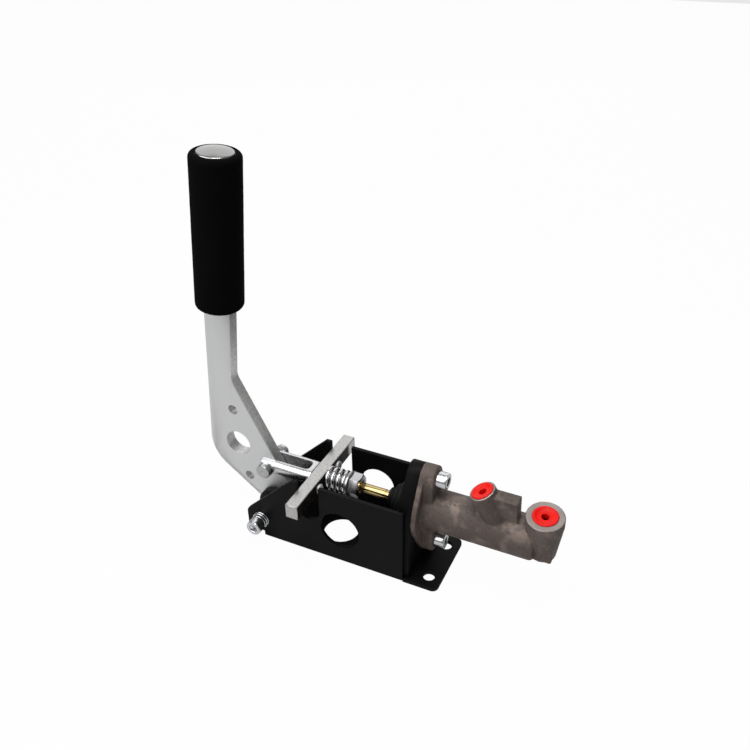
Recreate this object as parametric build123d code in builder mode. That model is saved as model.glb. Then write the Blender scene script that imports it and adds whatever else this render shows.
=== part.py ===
from build123d import *
import math
import os

# Hydraulic hand brake lever: a folded bracket carries a hinged lever, whose clevis
# pushes a guided rod into a flange-mounted master cylinder.
# Millimetres. X runs from the lever to the cylinder and Z is up. The origin is the centre
# of the four mounting holes, on the underside of the bracket.

# Folded bracket
sheet = 3.0
bracket_width = 58.5
wall_height = 66.0
fold_inside = 0.8
fold_outside = 1.8
mount_spacing_x = 128.0
mount_spacing_y = 36.0
mount_hole = 9.0
base_front_margin = 9.7
base_rear_margin = 10.2
base_corner = 5.0
ear_length = 13.5
ear_height = 23.6
ear_underside = 5.0
ear_corner = 6.0
slope_run = 43.2
relief_width = 2.0
relief_depth = 6.0
near_window = 32.4
near_window_from_pivot = 69.5
near_window_z = 31.1
far_window = 28.2
far_window_from_pivot = 75.4
far_window_z = 37.0
floor_window = 28.6
floor_window_from_pivot = 55.2
slot_bottom = 33.5

# Lever hinge and throw
pivot_setback = 10.5
pivot_z = 18.4
pin_height = 35.4
pin_setback = 4.2
lever_throw = 11.6

# Lever plate, measured from its hinge
lever_thickness = 10.0
boss_radius = 11.0
heel_back = 60.0
heel_rise = 32.1
heel_radius = 30.0
bend_back = 32.4
bend_rise = 107.3
bend_radius = 12.0
shoulder_ahead = 12.7
shoulder_rise = 17.8
shoulder_radius = 12.0
lean = 6.0
grip_foot_back = 37.2
grip_foot_rise = 168.5
neck_width = 22.6
tang_width = 19.6
tang_length = 92.0
large_hole = 22.0
large_hole_back = 32.6
large_hole_rise = 47.7
upper_hole = 8.5
upper_hole_back = 33.9
upper_hole_rise = 79.5
lower_hole = 8.0
lower_hole_back = 25.1
lower_hole_rise = 17.3
plate_edge = 0.6

# Grip
grip_radius = 17.6
grip_length = 114.5
grip_top_round = 4.5
grip_foot_round = 2.5
core_radius = 13.0
core_wall = 1.8
cap_rise = 2.4
cap_rim = 1.6
cap_plug_length = 7.0

# Hinge hardware
pivot_bolt_diameter = 8.0
bolt_head_diameter = 13.0
bolt_head_height = 8.0
hinge_head_diameter = 12.4
head_chamfer = 0.8
socket_width = 6.0
socket_depth = 4.0
bolt_end_gap = 0.5
bush_wall = 2.5
washer_thickness = 1.8
washer_diameter = 15.0
spring_washer_height = 2.1
washer_split = 1.2
pivot_nut_width = 13.0
pivot_nut_height = 8.0
nut_collar = 1.6
bolt_stub = 2.0
spacer_diameter = 27.0
spacer_disc = 7.0
spacer_barrel = 18.0

# Clevis, guide bar and push rod
fork_depth = 35.2
fork_arm_thickness = 5.6
fork_arm_height = 12.0
fork_end = 6.2
fork_corner = 3.2
fork_crotch_thickness = 4.0
fork_edge = 1.2
pin_diameter = 6.0
pin_head_diameter = 11.8
pin_head_height = 4.2
pin_washer_diameter = 12.8
pin_washer_thickness = 1.6
pin_nut_width = 10.0
pin_nut_height = 5.0
pin_stub = 0.8
bar_width = 10.0
bar_height = 12.0
bar_length = 95.4
bar_edge = 0.5
bar_screw_spacing = 31.0
bar_screw_diameter = 6.0
bar_screw_head = 8.0
bar_screw_head_height = 3.6
bar_screw_round = 1.6
spring_wire = 2.8
spring_length = 19.0
spring_turns = 3.9
spring_gap = 0.6
sleeve_diameter = 14.0
spring_washer_diameter = 23.0
spring_washer_thickness = 2.0
adjuster_width = 17.0
adjuster_height = 8.4
rod_thread_diameter = 8.0
rod_diameter = 7.4
rod_thread_runout = 1.0

# End plate, boot and master cylinder
plate_thickness = 10.0
plate_from_pivot = 115.2
plate_past_walls = 3.7
plate_lobe_radius = 9.8
plate_bore = 24.0
boot_length = 16.7
boot_radius = 17.5
boot_nose_radius = 7.0
boot_wall = 2.0
boot_flange = 2.6
boot_nose_length = 4.0
boot_bulge = 5.0
flange_bolt_spacing = 57.2
flange_bolt_diameter = 8.0
flange_thickness = 11.2
flange_plate = 4.0
flange_centre_radius = 24.8
flange_lobe_radius = 10.0
flange_boss_depth = 16.0
flange_round = 1.4
barrel_radius = 15.8
barrel_length = 87.2
barrel_round = 3.0
bore_diameter = 17.8
bore_end_wall = 10.0
mouth_diameter = 22.0
mouth_depth = 3.6
port_roll = 8.0
inlet_tilt = 25.0
inlet_from_flange = 61.6
inlet_boss_radius = 9.8
inlet_reach = 38.0
outlet_past_barrel = 4.0
outlet_boss_radius = 13.7
outlet_foot_radius = 9.5
outlet_reach = 27.0
outlet_depth = 12.0
outlet_rim = 7.0
web_thickness = 9.6
web_rise = 34.6
web_before_inlet = 10.4
web_gap_to_outlet = 18.1
inlet_port_diameter = 14.6
outlet_port_diameter = 16.4
port_depth = 13.0
port_passage = 4.0
plug_overlap = 0.9
plug_seat = 1.2
plug_head = 2.0
plug_stem_length = 8.0
plug_hole = 5.5
plug_round = 0.6

# Piston parts; the piston's front edge rests just short of the inlet passage
port_lead = 0.7
piston_nose_radius = 5.0
piston_nose_length = 4.0
piston_waist_radius = 6.5
piston_land = 3.0
seal_length = 3.2
cup_radius = 5.0
cup_depth = 9.0
stop_washer_thickness = 1.4
stop_washer_bore = 11.4
circlip_thickness = 1.2
circlip_bore = 16.0
circlip_opening = 5.0
return_wire = 1.3
return_turns = 4.5

# Clearances
running = 0.05
seat = 0.05
side_play = 0.2
slot_play = 0.5
rod_play = 0.7
tip_play = 0.3
bolt_play = 0.25

# Places that follow from the sizes above
wall_outer = bracket_width / 2
wall_inner = wall_outer - sheet
pivot_x = -mount_spacing_x / 2 - pivot_setback
rod_z = pivot_z + pin_height
pin_x = pivot_x - pin_setback
base_front = -mount_spacing_x / 2 - base_front_margin
base_rear = mount_spacing_x / 2 + base_rear_margin
plate_front = pivot_x + plate_from_pivot
plate_rear = plate_front + plate_thickness
wall_front = pivot_x - ear_length
wall_rear = plate_rear - plate_past_walls
near_window_x = pivot_x + near_window_from_pivot
far_window_x = pivot_x + far_window_from_pivot

pin_radius_arm = math.hypot(pin_height, pin_setback)
pin_angle = math.atan2(pin_setback, pin_height)
throw = math.radians(lever_throw)
rod_travel = pin_radius_arm * (math.sin(throw - pin_angle) + math.sin(pin_angle))

fork_gap = lever_thickness / 2 + side_play
fork_outer = fork_gap + fork_arm_thickness
crotch_x = pin_x + fork_depth
bar_front = crotch_x + fork_crotch_thickness
bar_rear = bar_front + bar_width
sleeve_end = bar_rear + spring_length
adjuster_front = sleeve_end + spring_washer_thickness
adjuster_rear = adjuster_front + adjuster_height

flange_rear = plate_rear + flange_thickness
piston_rear = plate_rear + mouth_depth
barrel_end = plate_rear + barrel_length
bore_end = barrel_end - bore_end_wall
rod_tip = piston_rear + cup_depth - tip_play
inlet_x = plate_rear + inlet_from_flange
outlet_x = barrel_end + outlet_past_barrel
web_length = outlet_x - web_gap_to_outlet - (inlet_x - web_before_inlet)

hinge_plane = Plane(origin=(pivot_x, 0, pivot_z), x_dir=(1, 0, 0), z_dir=(0, -1, 0))
pin_plane = Plane(origin=(pin_x, 0, rod_z), x_dir=(1, 0, 0), z_dir=(0, -1, 0))
side_plane = Plane.XZ
tilt = math.radians(lean)
grip_plane = Plane(
    origin=(pivot_x - grip_foot_back, 0, pivot_z + grip_foot_rise),
    x_dir=(math.cos(tilt), 0, -math.sin(tilt)),
    z_dir=(math.sin(tilt), 0, math.cos(tilt)),
)
roll = math.radians(port_roll)
outlet_plane = Plane(
    origin=(outlet_x, 0, rod_z),
    x_dir=(1, 0, 0),
    z_dir=(0, -math.sin(roll), math.cos(roll)),
)
pitch_back = math.radians(inlet_tilt)
inlet_edge = inlet_x - bore_diameter / 2 * math.tan(pitch_back) - port_passage / 2 / math.cos(pitch_back)
piston_front = inlet_edge - port_lead
inlet_plane = Plane(
    origin=(inlet_x, 0, rod_z),
    x_dir=(
        math.cos(pitch_back),
        -math.sin(roll) * math.sin(pitch_back),
        math.cos(roll) * math.sin(pitch_back),
    ),
    z_dir=(
        -math.sin(pitch_back),
        -math.sin(roll) * math.cos(pitch_back),
        math.cos(roll) * math.cos(pitch_back),
    ),
)
rod_plane = Plane(origin=(0, 0, rod_z), x_dir=(1, 0, 0), z_dir=(0, -1, 0))
rod_axis = Axis((0, 0, rod_z), (1, 0, 0))

os.makedirs("parts", exist_ok=True)


def square_to_rod(x):
    return Plane(origin=(x, 0, rod_z), x_dir=(0, 1, 0), z_dir=(1, 0, 0))


def along_y(x, z, y):
    return Plane(origin=(x, y, z), x_dir=(1, 0, 0), z_dir=(0, 1, 0))


def save(piece, name):
    piece.part.label = name
    export_step(piece.part, f"parts/{name}.step")


# Bracket: floor and two walls folded up from one sheet
slope_top = wall_front + slope_run
slot_front = bar_front - slot_play
slot_rear = bar_rear + rod_travel + slot_play
slot_width = slot_rear - slot_front
slot_bend = slot_bottom + slot_width / 2
wall_outline = [
    (wall_front, ear_underside),
    (base_front, ear_underside),
    (base_front, 0),
    (wall_rear, 0),
    (wall_rear, wall_height),
    (slope_top, wall_height),
    (wall_front, ear_height),
]
with BuildPart() as base_bracket:
    with BuildSketch() as floor_sketch:
        with Locations(((base_front + base_rear) / 2, 0)):
            Rectangle(base_rear - base_front, bracket_width)
        fillet(floor_sketch.vertices().group_by(Axis.X)[-1], base_corner)
    extrude(amount=sheet)
    with BuildSketch(side_plane.offset(wall_inner)) as wall_sketch:
        with BuildLine():
            Polyline(wall_outline, close=True)
        make_face()
        fillet(wall_sketch.vertices().group_by(Axis.X)[0].sort_by(Axis.Z)[0], ear_corner)
    extrude(amount=sheet)
    mirror(about=Plane.XZ)
    # relief cuts let the folds end before the flat tail of the floor
    with BuildSketch():
        with Locations((wall_rear + relief_width / 2, 0)):
            with GridLocations(0, bracket_width, 1, 2):
                Rectangle(relief_width, 2 * relief_depth)
    extrude(amount=sheet, mode=Mode.SUBTRACT)
    fold_edges = base_bracket.edges().filter_by(Axis.X)
    inner_folds = fold_edges.filter_by_position(Axis.Z, sheet, sheet).filter_by(
        lambda edge: abs(abs(edge.center().Y) - wall_inner) < seat
    )
    fillet(inner_folds, fold_inside)
    outer_folds = (
        base_bracket.edges()
        .filter_by(Axis.X)
        .filter_by(
            lambda edge: abs(edge.center().Z) < seat
            and abs(abs(edge.center().Y) - wall_outer) < seat
            and edge.center().X < wall_rear
        )
    )
    fillet(outer_folds, fold_outside)
    # open slots for the guide bar and the hinge holes go through both walls
    with BuildSketch(side_plane):
        with Locations((slot_front + slot_width / 2, slot_bend)):
            Circle(slot_width / 2)
        with Locations((slot_front + slot_width / 2, slot_bend + wall_height / 2)):
            Rectangle(slot_width, wall_height)
        with Locations((pivot_x, pivot_z)):
            Circle(pivot_bolt_diameter / 2 + bolt_play)
    extrude(amount=bracket_width, both=True, mode=Mode.SUBTRACT)
    with BuildSketch(side_plane):
        with Locations((near_window_x, near_window_z)):
            Circle(near_window / 2)
    extrude(amount=bracket_width, mode=Mode.SUBTRACT)
    with BuildSketch(side_plane):
        with Locations((far_window_x, far_window_z)):
            Circle(far_window / 2)
    extrude(amount=-bracket_width, mode=Mode.SUBTRACT)
    with BuildSketch():
        with GridLocations(mount_spacing_x, mount_spacing_y, 2, 2):
            Circle(mount_hole / 2)
        with Locations((pivot_x + floor_window_from_pivot, 0)):
            Circle(floor_window / 2)
    extrude(amount=sheet, mode=Mode.SUBTRACT)
save(base_bracket, "base_bracket")

# End plate: stands on the floor between the walls and rises to the upper flange bolt
plate_half_width = wall_inner - seat
plate_foot = sheet - rod_z
plate_shoulder = wall_height - rod_z
with BuildPart() as end_plate:
    with BuildSketch(square_to_rod(plate_front)) as plate_sketch:
        with BuildLine():
            Polyline(
                (-plate_half_width, plate_foot),
                (plate_half_width, plate_foot),
                (plate_half_width, plate_shoulder / 2),
                (-plate_half_width, plate_shoulder / 2),
                close=True,
            )
        make_face()
        with Locations((0, flange_bolt_spacing / 2)):
            Circle(plate_lobe_radius)
        make_hull()
        fillet(plate_sketch.vertices().group_by(Axis.Y)[0], fold_inside + seat)
        Circle(plate_bore / 2, mode=Mode.SUBTRACT)
        with GridLocations(0, flange_bolt_spacing, 1, 2):
            Circle(flange_bolt_diameter / 2 + seat, mode=Mode.SUBTRACT)
    extrude(amount=plate_thickness)
save(end_plate, "end_plate")

# Master cylinder casting
inlet_top = inlet_reach - plug_head + plug_seat
outlet_top = outlet_reach - plug_head + plug_seat
with BuildPart() as cylinder_body:
    with BuildSketch(square_to_rod(plate_rear)):
        Circle(flange_centre_radius)
        with GridLocations(0, flange_bolt_spacing, 1, 2):
            Circle(flange_lobe_radius)
        make_hull()
    extrude(amount=flange_plate)
    with BuildSketch(square_to_rod(plate_rear)):
        with GridLocations(0, flange_bolt_spacing, 1, 2):
            Circle(flange_lobe_radius)
        with GridLocations(0, flange_bolt_spacing - flange_boss_depth, 1, 2):
            Rectangle(2 * flange_lobe_radius, flange_boss_depth)
    extrude(amount=flange_thickness)
    fillet(cylinder_body.faces().group_by(Axis.X)[-1].edges(), flange_round)
    with BuildSketch(square_to_rod(plate_rear)):
        Circle(barrel_radius)
    extrude(amount=barrel_length)
    fillet(cylinder_body.faces().sort_by(Axis.X)[-1].edges(), barrel_round)
    with BuildSketch(inlet_plane):
        Circle(inlet_boss_radius)
    extrude(amount=inlet_top)
    with BuildSketch(outlet_plane.offset(-outlet_depth)):
        Circle(outlet_foot_radius)
    with BuildSketch(outlet_plane.offset(outlet_top - outlet_rim)):
        Circle(outlet_boss_radius)
    loft()
    with BuildSketch(outlet_plane.offset(outlet_top - outlet_rim)):
        Circle(outlet_boss_radius)
    extrude(amount=outlet_rim)
    with BuildSketch(outlet_plane):
        with Locations((-web_gap_to_outlet - web_length / 2, 0)):
            Rectangle(web_length, web_thickness)
    extrude(amount=web_rise)
    # bolt holes, bore, mouth and ports
    with BuildSketch(square_to_rod(plate_rear)):
        with GridLocations(0, flange_bolt_spacing, 1, 2):
            Circle(flange_bolt_diameter / 2 + bolt_play)
    extrude(amount=flange_thickness, mode=Mode.SUBTRACT)
    with BuildSketch(square_to_rod(plate_rear)):
        Circle(bore_diameter / 2)
    extrude(amount=bore_end - plate_rear, mode=Mode.SUBTRACT)
    with BuildSketch(square_to_rod(plate_rear)):
        Circle(mouth_diameter / 2)
    extrude(amount=mouth_depth, mode=Mode.SUBTRACT)
    with BuildSketch(square_to_rod(plate_rear)):
        Circle(port_passage / 2)
    extrude(amount=outlet_x - plate_rear, mode=Mode.SUBTRACT)
    for port_plane, port_top, port_diameter in (
        (inlet_plane, inlet_top, inlet_port_diameter),
        (outlet_plane, outlet_top, outlet_port_diameter),
    ):
        with BuildSketch(port_plane):
            Circle(port_passage / 2)
        extrude(amount=port_top, mode=Mode.SUBTRACT)
        with BuildSketch(port_plane.offset(port_top)):
            Circle(port_diameter / 2)
        extrude(amount=-port_depth, mode=Mode.SUBTRACT)
        with BuildSketch(port_plane.offset(port_top)):
            Circle(port_diameter / 2 + plug_overlap + seat)
        extrude(amount=-plug_seat, mode=Mode.SUBTRACT)
save(cylinder_body, "cylinder_body")

# Shipping plugs in the two ports
for port_plane, port_top, port_diameter, plug_name in (
    (inlet_plane, inlet_top, inlet_port_diameter, "inlet_plug"),
    (outlet_plane, outlet_top, outlet_port_diameter, "outlet_plug"),
):
    with BuildPart() as port_plug:
        with BuildSketch(port_plane.offset(port_top - plug_seat)):
            Circle(port_diameter / 2 + plug_overlap)
        extrude(amount=plug_head)
        fillet(port_plug.faces().sort_by(Axis.Z)[-1].edges(), plug_round)
        with BuildSketch(port_plane.offset(port_top - plug_seat)):
            Circle(port_diameter / 2 - seat)
        extrude(amount=-plug_stem_length)
        with BuildSketch(port_plane.offset(port_top - plug_seat + plug_head)):
            Circle(plug_hole / 2)
        extrude(amount=-plug_stem_length, mode=Mode.SUBTRACT)
    save(port_plug, plug_name)

# Rubber boot over the mouth of the cylinder, its lip round the push rod
boot_nose = plate_front - boot_length
boot_shoulder = plate_front - boot_flange
boot_bore = boot_radius - boot_wall
boot_lip = rod_diameter / 2 + rod_play
boot_waist = plate_front - boot_length + boot_nose_length
with BuildPart() as dust_boot:
    with BuildSketch(rod_plane):
        with BuildLine():
            Polyline((plate_front, boot_bore), (plate_front, boot_radius), (boot_shoulder, boot_radius))
            ThreePointArc(
                (boot_shoulder, boot_radius),
                (boot_waist + boot_bulge, boot_radius - boot_bulge),
                (boot_waist, boot_nose_radius),
            )
            Polyline(
                (boot_waist, boot_nose_radius),
                (boot_nose, boot_nose_radius),
                (boot_nose, boot_lip),
                (boot_waist + boot_wall, boot_lip),
            )
            ThreePointArc(
                (boot_waist + boot_wall, boot_lip),
                (boot_waist + boot_bulge + boot_wall, boot_radius - boot_bulge - boot_wall),
                (boot_shoulder, boot_bore),
            )
            Line((boot_shoulder, boot_bore), (plate_front, boot_bore))
        make_face()
    revolve(axis=rod_axis)
save(dust_boot, "dust_boot")

# Flange bolts, screwed into the end plate
bolt_reach = flange_thickness + plate_thickness - bolt_end_gap
with BuildPart() as flange_bolts:
    with BuildSketch(square_to_rod(flange_rear)):
        with GridLocations(0, flange_bolt_spacing, 1, 2):
            Circle(flange_bolt_diameter / 2)
    extrude(amount=-bolt_reach)
    with BuildSketch(square_to_rod(flange_rear)):
        with GridLocations(0, flange_bolt_spacing, 1, 2):
            Circle(bolt_head_diameter / 2)
    extrude(amount=bolt_head_height)
    chamfer(flange_bolts.faces().group_by(Axis.X)[-1].edges(), head_chamfer)
    with BuildSketch(square_to_rod(flange_rear + bolt_head_height)):
        with GridLocations(0, flange_bolt_spacing, 1, 2):
            RegularPolygon(socket_width / 2, 6, major_radius=False)
    extrude(amount=-socket_depth, mode=Mode.SUBTRACT)
save(flange_bolts, "flange_bolts")

# Stop washer and ring that keep the piston in the bore
with BuildPart() as stop_washer:
    with BuildSketch(square_to_rod(piston_rear - stop_washer_thickness - seat)):
        Circle(mouth_diameter / 2 - seat)
        Circle(stop_washer_bore / 2, mode=Mode.SUBTRACT)
    extrude(amount=stop_washer_thickness)
save(stop_washer, "stop_washer")

with BuildPart() as retaining_ring:
    with BuildSketch(square_to_rod(piston_rear - stop_washer_thickness - circlip_thickness - 2 * seat)):
        Circle(mouth_diameter / 2 - seat)
        Circle(circlip_bore / 2, mode=Mode.SUBTRACT)
        with Locations((0, -mouth_diameter / 2)):
            Rectangle(circlip_opening, mouth_diameter / 2, mode=Mode.SUBTRACT)
    extrude(amount=circlip_thickness)
save(retaining_ring, "retaining_ring")

# Hinge bolt through both walls, its head on the near side
near_stack = 2 * washer_thickness + seat
head_side = -wall_outer - near_stack - spring_washer_height
nut_side = wall_outer + washer_thickness
with BuildPart() as pivot_bolt:
    with BuildSketch(along_y(pivot_x, pivot_z, head_side)):
        Circle(pivot_bolt_diameter / 2)
    extrude(amount=nut_side + pivot_nut_height + bolt_stub - head_side)
    with BuildSketch(along_y(pivot_x, pivot_z, head_side)):
        Circle(hinge_head_diameter / 2)
    extrude(amount=-bolt_head_height)
    chamfer(pivot_bolt.faces().sort_by(Axis.Y)[0].edges(), head_chamfer)
    with BuildSketch(along_y(pivot_x, pivot_z, head_side - bolt_head_height)):
        RegularPolygon(socket_width / 2, 6, major_radius=False)
    extrude(amount=socket_depth, mode=Mode.SUBTRACT)
save(pivot_bolt, "pivot_bolt")

with BuildPart() as pivot_washers:
    for washer_y in (-wall_outer - washer_thickness, -wall_outer - near_stack, wall_outer):
        with BuildSketch(along_y(pivot_x, pivot_z, washer_y)):
            Circle(washer_diameter / 2)
            Circle(pivot_bolt_diameter / 2 + bolt_play, mode=Mode.SUBTRACT)
        extrude(amount=washer_thickness)
save(pivot_washers, "pivot_washers")

with BuildPart() as pivot_spring_washer:
    with BuildSketch(along_y(pivot_x, pivot_z, head_side)):
        Circle(hinge_head_diameter / 2)
        Circle(pivot_bolt_diameter / 2 + bolt_play, mode=Mode.SUBTRACT)
        with Locations((hinge_head_diameter / 2, 0)):
            Rectangle(hinge_head_diameter / 2, washer_split, mode=Mode.SUBTRACT)
    extrude(amount=spring_washer_height)
save(pivot_spring_washer, "pivot_spring_washer")

with BuildPart() as pivot_nut:
    with BuildSketch(along_y(pivot_x, pivot_z, nut_side)):
        RegularPolygon(pivot_nut_width / 2, 6, major_radius=False)
        Circle(pivot_bolt_diameter / 2 + seat, mode=Mode.SUBTRACT)
    extrude(amount=pivot_nut_height - nut_collar)
    with BuildSketch(along_y(pivot_x, pivot_z, nut_side + pivot_nut_height - nut_collar)):
        Circle(pivot_nut_width / 2 - nut_collar / 2)
        Circle(pivot_bolt_diameter / 2 + seat, mode=Mode.SUBTRACT)
    extrude(amount=nut_collar)
save(pivot_nut, "pivot_nut")

# Black spacers centre the lever between the walls: a disc beside the lever, a barrel to the wall
spacer_inner = lever_thickness / 2 + side_play
with BuildPart() as pivot_spacers:
    with BuildSketch(along_y(pivot_x, pivot_z, spacer_inner)):
        Circle(spacer_diameter / 2)
    extrude(amount=spacer_disc)
    with BuildSketch(along_y(pivot_x, pivot_z, spacer_inner)):
        Circle(spacer_barrel / 2)
    extrude(amount=wall_inner - spacer_inner)
    with BuildSketch(along_y(pivot_x, pivot_z, spacer_inner)):
        Circle(pivot_bolt_diameter / 2 + bolt_play)
    extrude(amount=wall_inner - spacer_inner, mode=Mode.SUBTRACT)
    mirror(about=Plane.XZ)
save(pivot_spacers, "pivot_spacers")


# Lever: one flat plate, hinged at its boss and ending in a tang inside the grip
def tangent_point(corner, radius):
    distance = math.hypot(*corner)
    angle = math.atan2(corner[1], corner[0]) + math.acos(radius / distance)
    return (radius * math.cos(angle), radius * math.sin(angle))


def up_the_grip(sideways, along):
    foot_x = -grip_foot_back + sideways * math.cos(tilt) + along * math.sin(tilt)
    foot_z = grip_foot_rise - sideways * math.sin(tilt) + along * math.cos(tilt)
    return (foot_x, foot_z)


bush_radius = pivot_bolt_diameter / 2 + running + bush_wall
heel = (-heel_back, heel_rise)
bend = (-bend_back, bend_rise)
shoulder = (shoulder_ahead, shoulder_rise)
lever_outline = [
    (0, 0),
    tangent_point(heel, boss_radius),
    heel,
    up_the_grip(-neck_width / 2, 0),
    up_the_grip(-tang_width / 2, 0),
    up_the_grip(-tang_width / 2, tang_length),
    up_the_grip(tang_width / 2, tang_length),
    up_the_grip(tang_width / 2, 0),
    up_the_grip(neck_width / 2, 0),
    bend,
    shoulder,
    (boss_radius, 0),
]


def near(point):
    """Picks the corner of a hinge_plane sketch that lies at a point of the lever outline."""
    return lambda vertex: abs(vertex.X - point[0]) < seat and abs(vertex.Y - point[1]) < seat


with BuildPart() as lever_plate:
    with BuildSketch(hinge_plane) as lever_sketch:
        with BuildLine():
            Polyline(lever_outline, close=True)
        make_face()
        for corner, radius in ((heel, heel_radius), (bend, bend_radius), (shoulder, shoulder_radius)):
            fillet(lever_sketch.sketch_local.vertices().filter_by(near(corner)), radius)
        Circle(boss_radius)
    extrude(amount=lever_thickness / 2, both=True)
    chamfer(lever_plate.faces().filter_by(Axis.Y).edges(), plate_edge)
    with BuildSketch(hinge_plane):
        Circle(bush_radius + seat)
        with Locations((pin_x - pivot_x, pin_height)):
            Circle(pin_diameter / 2 + running)
        with Locations((-large_hole_back, large_hole_rise)):
            Circle(large_hole / 2)
        with Locations((-upper_hole_back, upper_hole_rise)):
            Circle(upper_hole / 2)
        with Locations((-lower_hole_back, lower_hole_rise)):
            Circle(lower_hole / 2)
    extrude(amount=lever_thickness, both=True, mode=Mode.SUBTRACT)
save(lever_plate, "lever_plate")

with BuildPart() as pivot_bush:
    with BuildSketch(hinge_plane):
        Circle(bush_radius)
        Circle(pivot_bolt_diameter / 2 + running, mode=Mode.SUBTRACT)
    extrude(amount=lever_thickness / 2, both=True)
save(pivot_bush, "pivot_bush")

# Grip: a core tube over the tang, a foam sleeve and a domed cap
with BuildPart() as grip_core:
    with BuildSketch(grip_plane):
        Circle(core_radius)
        Circle(core_radius - core_wall, mode=Mode.SUBTRACT)
    extrude(amount=grip_length - cap_rim)
save(grip_core, "grip_core")

with BuildPart() as foam_grip:
    with BuildSketch(grip_plane):
        Circle(grip_radius)
    extrude(amount=grip_length)
    fillet(foam_grip.edges().sort_by(Axis.Z)[-1:], grip_top_round)
    fillet(foam_grip.edges().sort_by(Axis.Z)[:1], grip_foot_round)
    with BuildSketch(grip_plane):
        Circle(core_radius + seat)
    extrude(amount=grip_length, mode=Mode.SUBTRACT)
save(foam_grip, "foam_grip")

cap_radius = core_radius
dome_radius = (cap_radius**2 + cap_rise**2) / (2 * cap_rise)
with BuildPart() as grip_cap:
    with BuildSketch(Plane(grip_plane.origin, x_dir=grip_plane.x_dir, z_dir=(0, -1, 0))):
        with BuildLine():
            Polyline(
                (0, grip_length - cap_rim - cap_plug_length),
                (core_radius - core_wall - seat, grip_length - cap_rim - cap_plug_length),
                (core_radius - core_wall - seat, grip_length - cap_rim),
                (cap_radius, grip_length - cap_rim),
                (cap_radius, grip_length),
            )
            RadiusArc((cap_radius, grip_length), (0, grip_length + cap_rise), -dome_radius)
            Line(
                (0, grip_length + cap_rise),
                (0, grip_length - cap_rim - cap_plug_length),
            )
        make_face()
    revolve(axis=Axis(grip_plane.origin, grip_plane.z_dir))
save(grip_cap, "grip_cap")

# Clevis fork: two arms round the lever, joined by a block that the push rod screws into
thread_bore = rod_thread_diameter / 2 + seat
with BuildPart() as clevis_fork:
    with BuildSketch(pin_plane) as fork_profile:
        with Locations(((fork_depth + fork_crotch_thickness - fork_end) / 2, 0)):
            Rectangle(fork_depth + fork_crotch_thickness + fork_end, fork_arm_height)
        fillet(fork_profile.vertices().group_by(Axis.X)[0], fork_corner)
    extrude(amount=fork_outer, both=True)
    fillet(clevis_fork.edges().filter_by(Axis.X), fork_edge)
    with BuildSketch(Plane.XY.offset(rod_z - fork_arm_height)) as fork_slot:
        with Locations((crotch_x - fork_depth, 0)):
            Rectangle(2 * fork_depth, 2 * fork_gap)
        fillet(fork_slot.vertices().group_by(Axis.X)[-1], fork_edge)
    extrude(amount=2 * fork_arm_height, mode=Mode.SUBTRACT)
    with BuildSketch(square_to_rod(bar_front)):
        Circle(thread_bore)
    extrude(amount=-fork_crotch_thickness, mode=Mode.SUBTRACT)
    with BuildSketch(pin_plane):
        Circle(pin_diameter / 2 + seat)
    extrude(amount=2 * fork_outer, both=True, mode=Mode.SUBTRACT)
save(clevis_fork, "clevis_fork")

pin_head_side = -fork_outer - pin_washer_thickness
with BuildPart() as clevis_pin:
    with BuildSketch(along_y(pin_x, rod_z, pin_head_side)):
        Circle(pin_diameter / 2)
    extrude(amount=fork_outer + pin_nut_height + pin_stub - pin_head_side)
    with BuildSketch(along_y(pin_x, rod_z, pin_head_side)):
        Circle(pin_head_diameter / 2)
    extrude(amount=-pin_head_height)
    chamfer(clevis_pin.faces().sort_by(Axis.Y)[0].edges(), head_chamfer)
save(clevis_pin, "clevis_pin")

with BuildPart() as clevis_pin_washer:
    with BuildSketch(along_y(pin_x, rod_z, pin_head_side)):
        Circle(pin_washer_diameter / 2)
        Circle(pin_diameter / 2 + seat, mode=Mode.SUBTRACT)
    extrude(amount=pin_washer_thickness)
save(clevis_pin_washer, "clevis_pin_washer")

with BuildPart() as clevis_pin_nut:
    with BuildSketch(along_y(pin_x, rod_z, fork_outer)):
        RegularPolygon(pin_nut_width / 2, 6, major_radius=False)
        Circle(pin_diameter / 2 + seat, mode=Mode.SUBTRACT)
    extrude(amount=pin_nut_height)
save(clevis_pin_nut, "clevis_pin_nut")

# Guide bar: rides in the slots of both walls and stops the stroke
with BuildPart() as cross_bar:
    with BuildSketch(square_to_rod(bar_front)):
        Rectangle(bar_length, bar_height)
    extrude(amount=bar_width)
    chamfer(cross_bar.edges(), bar_edge)
    with BuildSketch(square_to_rod(bar_front)):
        Circle(thread_bore)
        with GridLocations(bar_screw_spacing, 0, 2, 1):
            Circle(bar_screw_diameter / 2 + seat)
    extrude(amount=bar_width, mode=Mode.SUBTRACT)
save(cross_bar, "cross_bar")

with BuildPart() as bar_screws:
    with BuildSketch(square_to_rod(bar_rear)):
        with GridLocations(bar_screw_spacing, 0, 2, 1):
            Circle(bar_screw_diameter / 2)
    extrude(amount=-bar_width)
    with BuildSketch(square_to_rod(bar_rear)):
        with GridLocations(bar_screw_spacing, 0, 2, 1):
            Circle(bar_screw_head / 2)
    extrude(amount=bar_screw_head_height)
    fillet(bar_screws.faces().group_by(Axis.X)[-1].edges(), bar_screw_round)
save(bar_screws, "bar_screws")

# Sleeve and coil spring, both held between the bar and the broad washer
with BuildPart() as guide_sleeve:
    with BuildSketch(square_to_rod(bar_rear)):
        Circle(sleeve_diameter / 2)
        Circle(thread_bore, mode=Mode.SUBTRACT)
    extrude(amount=spring_length)
save(guide_sleeve, "guide_sleeve")

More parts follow.
